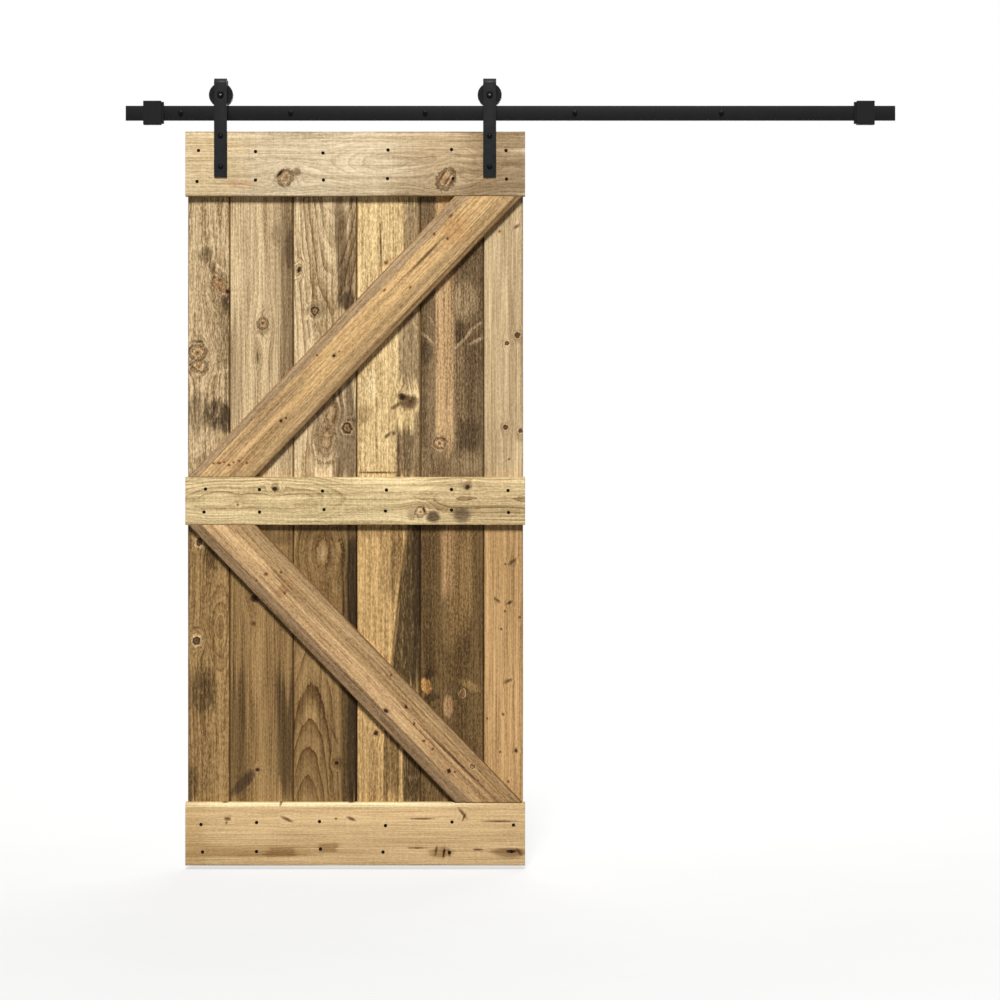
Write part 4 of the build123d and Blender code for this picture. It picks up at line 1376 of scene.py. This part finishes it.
class BARNDOOR_OT_straps(bpy.types.Operator):
    """Bends the two flat hanger straps over their wheels"""

    bl_idname = "barndoor.straps"
    bl_label = "Straps"

    def execute(self, context):
        settings = context.scene.barn_hardware
        coat = coat_finish("strap_black", STRAP_COAT, settings.black)
        for node in STRAPS:
            low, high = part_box(node)
            bm = self.bent_bar(low, high)
            self.round_corners(bm, low)
            ease_edges(bm, sharp_edges(bm), settings.ease, 2)
            make_piece(node + "_bar", bm, coat, "leaf", (node,))
        return {"FINISHED"}

    def bent_bar(self, low, high):
        """Draws the strap's outer face up, over and down, and gives it its thickness."""
        bend = STRAP_OUTER_BEND
        bm = bmesh.new()
        foot = [bm.verts.new((x, low.y, low.z)) for x in (low.x, high.x)]
        edge = bm.edges.new(foot)
        edge = self.run(bm, edge, (0, 0, high.z - bend - low.z))
        edge = self.turn(bm, edge, (low.x, low.y + bend, high.z - bend), bend)
        edge = self.run(bm, edge, (0, high.y - low.y - 2 * bend, 0))
        edge = self.turn(bm, edge, (low.x, high.y - bend, high.z - bend), bend)
        self.run(bm, edge, (0, 0, STRAP_TAIL_Z - (high.z - bend)))
        bmesh.ops.recalc_face_normals(bm, faces=bm.faces)
        front = min(bm.faces, key=lambda face: face.calc_center_median().y)
        if front.normal.y > 0:
            bmesh.ops.reverse_faces(bm, faces=bm.faces)
        bmesh.ops.solidify(bm, geom=bm.faces[:], thickness=STRAP_THICKNESS)
        bmesh.ops.recalc_face_normals(bm, faces=bm.faces)
        return bm

    def run(self, bm, edge, travel):
        """Draws an edge straight out and gives the edge at the far end."""
        drawn = bmesh.ops.extrude_edge_only(bm, edges=[edge])["geom"]
        moved = [item for item in drawn if isinstance(item, bmesh.types.BMVert)]
        bmesh.ops.translate(bm, verts=moved, vec=travel)
        return bm.edges.get(moved)

    def turn(self, bm, edge, centre, bend):
        """Bends an edge a quarter turn back over the wheel and gives the edge at the far end."""
        spun = bmesh.ops.spin(
            bm, geom=[edge, *edge.verts], cent=centre, axis=(-1, 0, 0), angle=math.pi / 2,
            steps=BEND_STEPS,
        )["geom_last"]
        return next(item for item in spun if isinstance(item, bmesh.types.BMEdge))

    def round_corners(self, bm, low):
        """Rounds the corners at the strap's two ends."""
        corners = [
            edge for edge in bm.edges
            if abs(edge.calc_length() - STRAP_THICKNESS) < STRAP_TOUCH
            and min(abs(edge.verts[0].co.z - z) for z in (low.z, STRAP_TAIL_Z)) < STRAP_TOUCH
        ]
        ease_edges(bm, corners, STRAP_CORNER, 4)


class BARNDOOR_OT_track(bpy.types.Operator):
    """Makes the flat track bar with its eased edges"""

    bl_idname = "barndoor.track"
    bl_label = "Track"

    def execute(self, context):
        settings = context.scene.barn_hardware
        low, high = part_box("track")
        corners = ((low.y, low.z), (high.y, low.z), (high.y, high.z), (low.y, high.z))
        bm = draw_out([(low.x, y, z) for y, z in corners], (high.x - low.x, 0, 0))
        ease_edges(bm, bm.edges[:], settings.ease, 2)
        coat = coat_finish("track_black", TRACK_COAT, settings.track)
        make_piece("track_bar", bm, coat, "track", ("track",))
        return {"FINISHED"}


class BARNDOOR_OT_fittings(bpy.types.Operator):
    """Finishes the wheels, bolts, nuts, standoffs, stops and buffers"""

    bl_idname = "barndoor.fittings"
    bl_label = "Wheels, bolts and stops"

    def execute(self, context):
        settings = context.scene.barn_hardware
        finishes = {
            "black_steel": coat_finish("bolt_black", BOLT_COAT, settings.bolt),
            "wheel_steel": coat_finish("wheel_black", WHEEL_COAT, settings.wheel),
            "buffer_rubber": coat_finish("buffer_rubber", RUBBER_COAT, settings.rubber),
        }
        stop = coat_finish("stop_black", STOP_COAT, settings.track)
        made = (*BOARDS, *RAILS, *BRACES, *STRAPS, "track")
        for row in frame["record"]["subparts"]:
            node = row["node"]
            if node in STOPS:
                dress_node(node, stop)
            elif node in AXLE_BOLTS:
                dress_node(node, self.axle_finish(node, settings.bolt))
            elif node not in made:
                dress_node(node, finishes[row["material_slot"]])
        return {"FINISHED"}

    def axle_finish(self, node, colour):
        """Blackened bolt with a painted highlight in the socket on its axis."""
        low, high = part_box(node)
        middle = ((low.x + high.x) / 2, 0, (low.z + high.z) / 2)
        return coat_finish(node + "_black", BOLT_COAT, colour, middle)


class BARNDOOR_OT_stage(bpy.types.Operator):
    """Sets the floor, the lamps and the camera"""

    bl_idname = "barndoor.stage"
    bl_label = "Stage"

    def execute(self, context):
        scene = context.scene
        settings = scene.barn_stage
        scene.view_settings.view_transform = "Standard"
        self.lay_floor(scene, CAD_BOX[0].z - settings.floor_gap)
        self.light_world(scene, settings.sky)
        leaf = (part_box("top_rail")[1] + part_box("bottom_rail")[0]) / 2
        self.hang_key(scene, settings)
        self.hang_lamp(scene, "back_lamp", settings.back, BACK_LAMP_SIZE, leaf + BACK_LAMP_PLACE, leaf)
        self.set_camera(scene, settings.distance)
        return {"FINISHED"}

    def lay_floor(self, scene, level):
        """A pale floor that looks white to the camera and keeps the door's shadow."""
        bm = bmesh.new()
        place = Matrix.Translation((0, 0, level))
        bmesh.ops.create_grid(bm, x_segments=2, y_segments=2, size=FLOOR_SIZE, matrix=place)
        mesh = bpy.data.meshes.new("floor")
        bm.to_mesh(mesh)
        bm.free()
        finish = Finish("pale_floor")
        seen = self.seen_by_camera(finish)
        pale = finish.mix(*FLOOR_TONES, finish.pattern(finish.point, FLOOR_GRAIN))
        matte = finish.dress(
            Base_Color=finish.mix(FLOOR_GREY, pale, seen),
            Roughness=FLOOR_ROUGHNESS,
            Specular_IOR_Level=FLOOR_GLEAM,
        )
        light = finish.add("ShaderNodeEmission", {}, {"Color": WHITE, "Strength": 1.0})
        fade = finish.step(finish.length(finish.point), *FLOOR_FADE)
        share = seen * (fade * (1 - FLOOR_GLOW) + FLOOR_GLOW)
        surface = Value(finish, finish.surface.outputs["BSDF"])
        shown = finish.add("ShaderNodeMixShader", {}, {0: share, 1: surface, 2: light})
        finish.feed(finish.tree.nodes["Material Output"].inputs["Surface"], shown)
        mesh.materials.append(matte)
        floor = bpy.data.objects.new("floor", mesh)
        scene.collection.objects.link(floor)

    def seen_by_camera(self, nodes):
        """1 for the rays that show a surface in the picture, straight or in a reflection."""
        camera = nodes.add("ShaderNodeLightPath", {}, {}, "Is Camera Ray")
        glossy = camera.output("Is Glossy Ray")
        clear = camera.output("Is Transmission Ray")
        return camera.math("MAXIMUM", glossy).math("MAXIMUM", clear)

    def light_world(self, scene, strength):
        """Even light all round, white where the camera looks past the door."""
        world = bpy.data.worlds.new("studio")
        world.use_nodes = True
        scene.world = world
        nodes = Nodes(world.node_tree)
        room = nodes.add("ShaderNodeBackground", {}, {"Color": WHITE, "Strength": strength})
        white = nodes.add("ShaderNodeBackground", {}, {"Color": WHITE, "Strength": 1.0})
        seen = self.seen_by_camera(nodes)
        shown = nodes.add("ShaderNodeMixShader", {}, {0: seen, 1: room, 2: white})
        nodes.feed(world.node_tree.nodes["World Output"].inputs["Surface"], shown)

    def hang_key(self, scene, settings):
        """Even soft light from high above the front, as bright at the leaf's foot as at its top."""
        light = bpy.data.lights.new("key_light", "SUN")
        light.energy = settings.key
        light.angle = settings.key_softness
        holder = bpy.data.objects.new("key_light", light)
        holder.rotation_euler = (math.pi / 2 - settings.key_height, 0, 0)
        scene.collection.objects.link(holder)

    def hang_lamp(self, scene, name, power, size, place, target):
        """A large soft lamp that faces a point."""
        lamp = bpy.data.lights.new(name, "AREA")
        lamp.shape = "RECTANGLE"
        lamp.size, lamp.size_y = size
        lamp.energy = power
        holder = bpy.data.objects.new(name, lamp)
        holder.location = place
        holder.rotation_euler = (target - place).to_track_quat("-Z", "Y").to_euler()
        scene.collection.objects.link(holder)

    def set_camera(self, scene, distance):
        """A level camera square to the leaf, framed as the photograph is."""
        x, z = spot(MIDDLE_PX, MIDDLE_PY)
        data = bpy.data.cameras.new("camera")
        data.sensor_width = SENSOR_WIDTH
        data.lens = data.sensor_width * distance / (PHOTO_WIDTH_PX * PIXEL)
        camera = bpy.data.objects.new("camera", data)
        camera.location = (x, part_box("top_rail")[0].y - distance, z)
        camera.rotation_euler = (math.pi / 2, 0, 0)
        scene.collection.objects.link(camera)
        scene.camera = camera


OPERATORS = (
    BARNDOOR_OT_boards,
    BARNDOOR_OT_rails,
    BARNDOOR_OT_braces,
    BARNDOOR_OT_nails,
    BARNDOOR_OT_lag_bolts,
    BARNDOOR_OT_set_screws,
    BARNDOOR_OT_straps,
    BARNDOOR_OT_track,
    BARNDOOR_OT_fittings,
    BARNDOOR_OT_stage,
)

SETTINGS = {
    "barn_timber": TimberSettings,
    "barn_fixings": FixingSettings,
    "barn_hardware": HardwareSettings,
    "barn_stage": StageSettings,
}


class BARNDOOR_PT_panel(bpy.types.Panel):
    """Sizes, colours and makers of the barn door"""

    bl_idname = "BARNDOOR_PT_panel"
    bl_label = "Barn door"
    bl_space_type = "VIEW_3D"
    bl_region_type = "UI"
    bl_category = "Barn door"

    def draw(self, context):
        layout = self.layout
        for name, group in SETTINGS.items():
            box = layout.box()
            for field in group.__annotations__:
                box.prop(getattr(context.scene, name), field)
        for operator in OPERATORS:
            layout.operator(operator.bl_idname)


def register():
    for group in SETTINGS.values():
        bpy.utils.register_class(group)
    for name, group in SETTINGS.items():
        setattr(bpy.types.Scene, name, bpy.props.PointerProperty(type=group))
    for operator in OPERATORS:
        bpy.utils.register_class(operator)
    bpy.utils.register_class(BARNDOOR_PT_panel)


def unregister():
    bpy.utils.unregister_class(BARNDOOR_PT_panel)
    for operator in reversed(OPERATORS):
        bpy.utils.unregister_class(operator)
    for name, group in SETTINGS.items():
        delattr(bpy.types.Scene, name)
        bpy.utils.unregister_class(group)


def main():
    register()
    bpy.ops.barndoor.boards()
    bpy.ops.barndoor.rails()
    bpy.ops.barndoor.braces()
    bpy.ops.barndoor.nails()
    bpy.ops.barndoor.lag_bolts()
    bpy.ops.barndoor.set_screws()
    bpy.ops.barndoor.straps()
    bpy.ops.barndoor.track()
    bpy.ops.barndoor.fittings()
    bpy.ops.barndoor.stage()


if __name__ == "__main__":
    main()
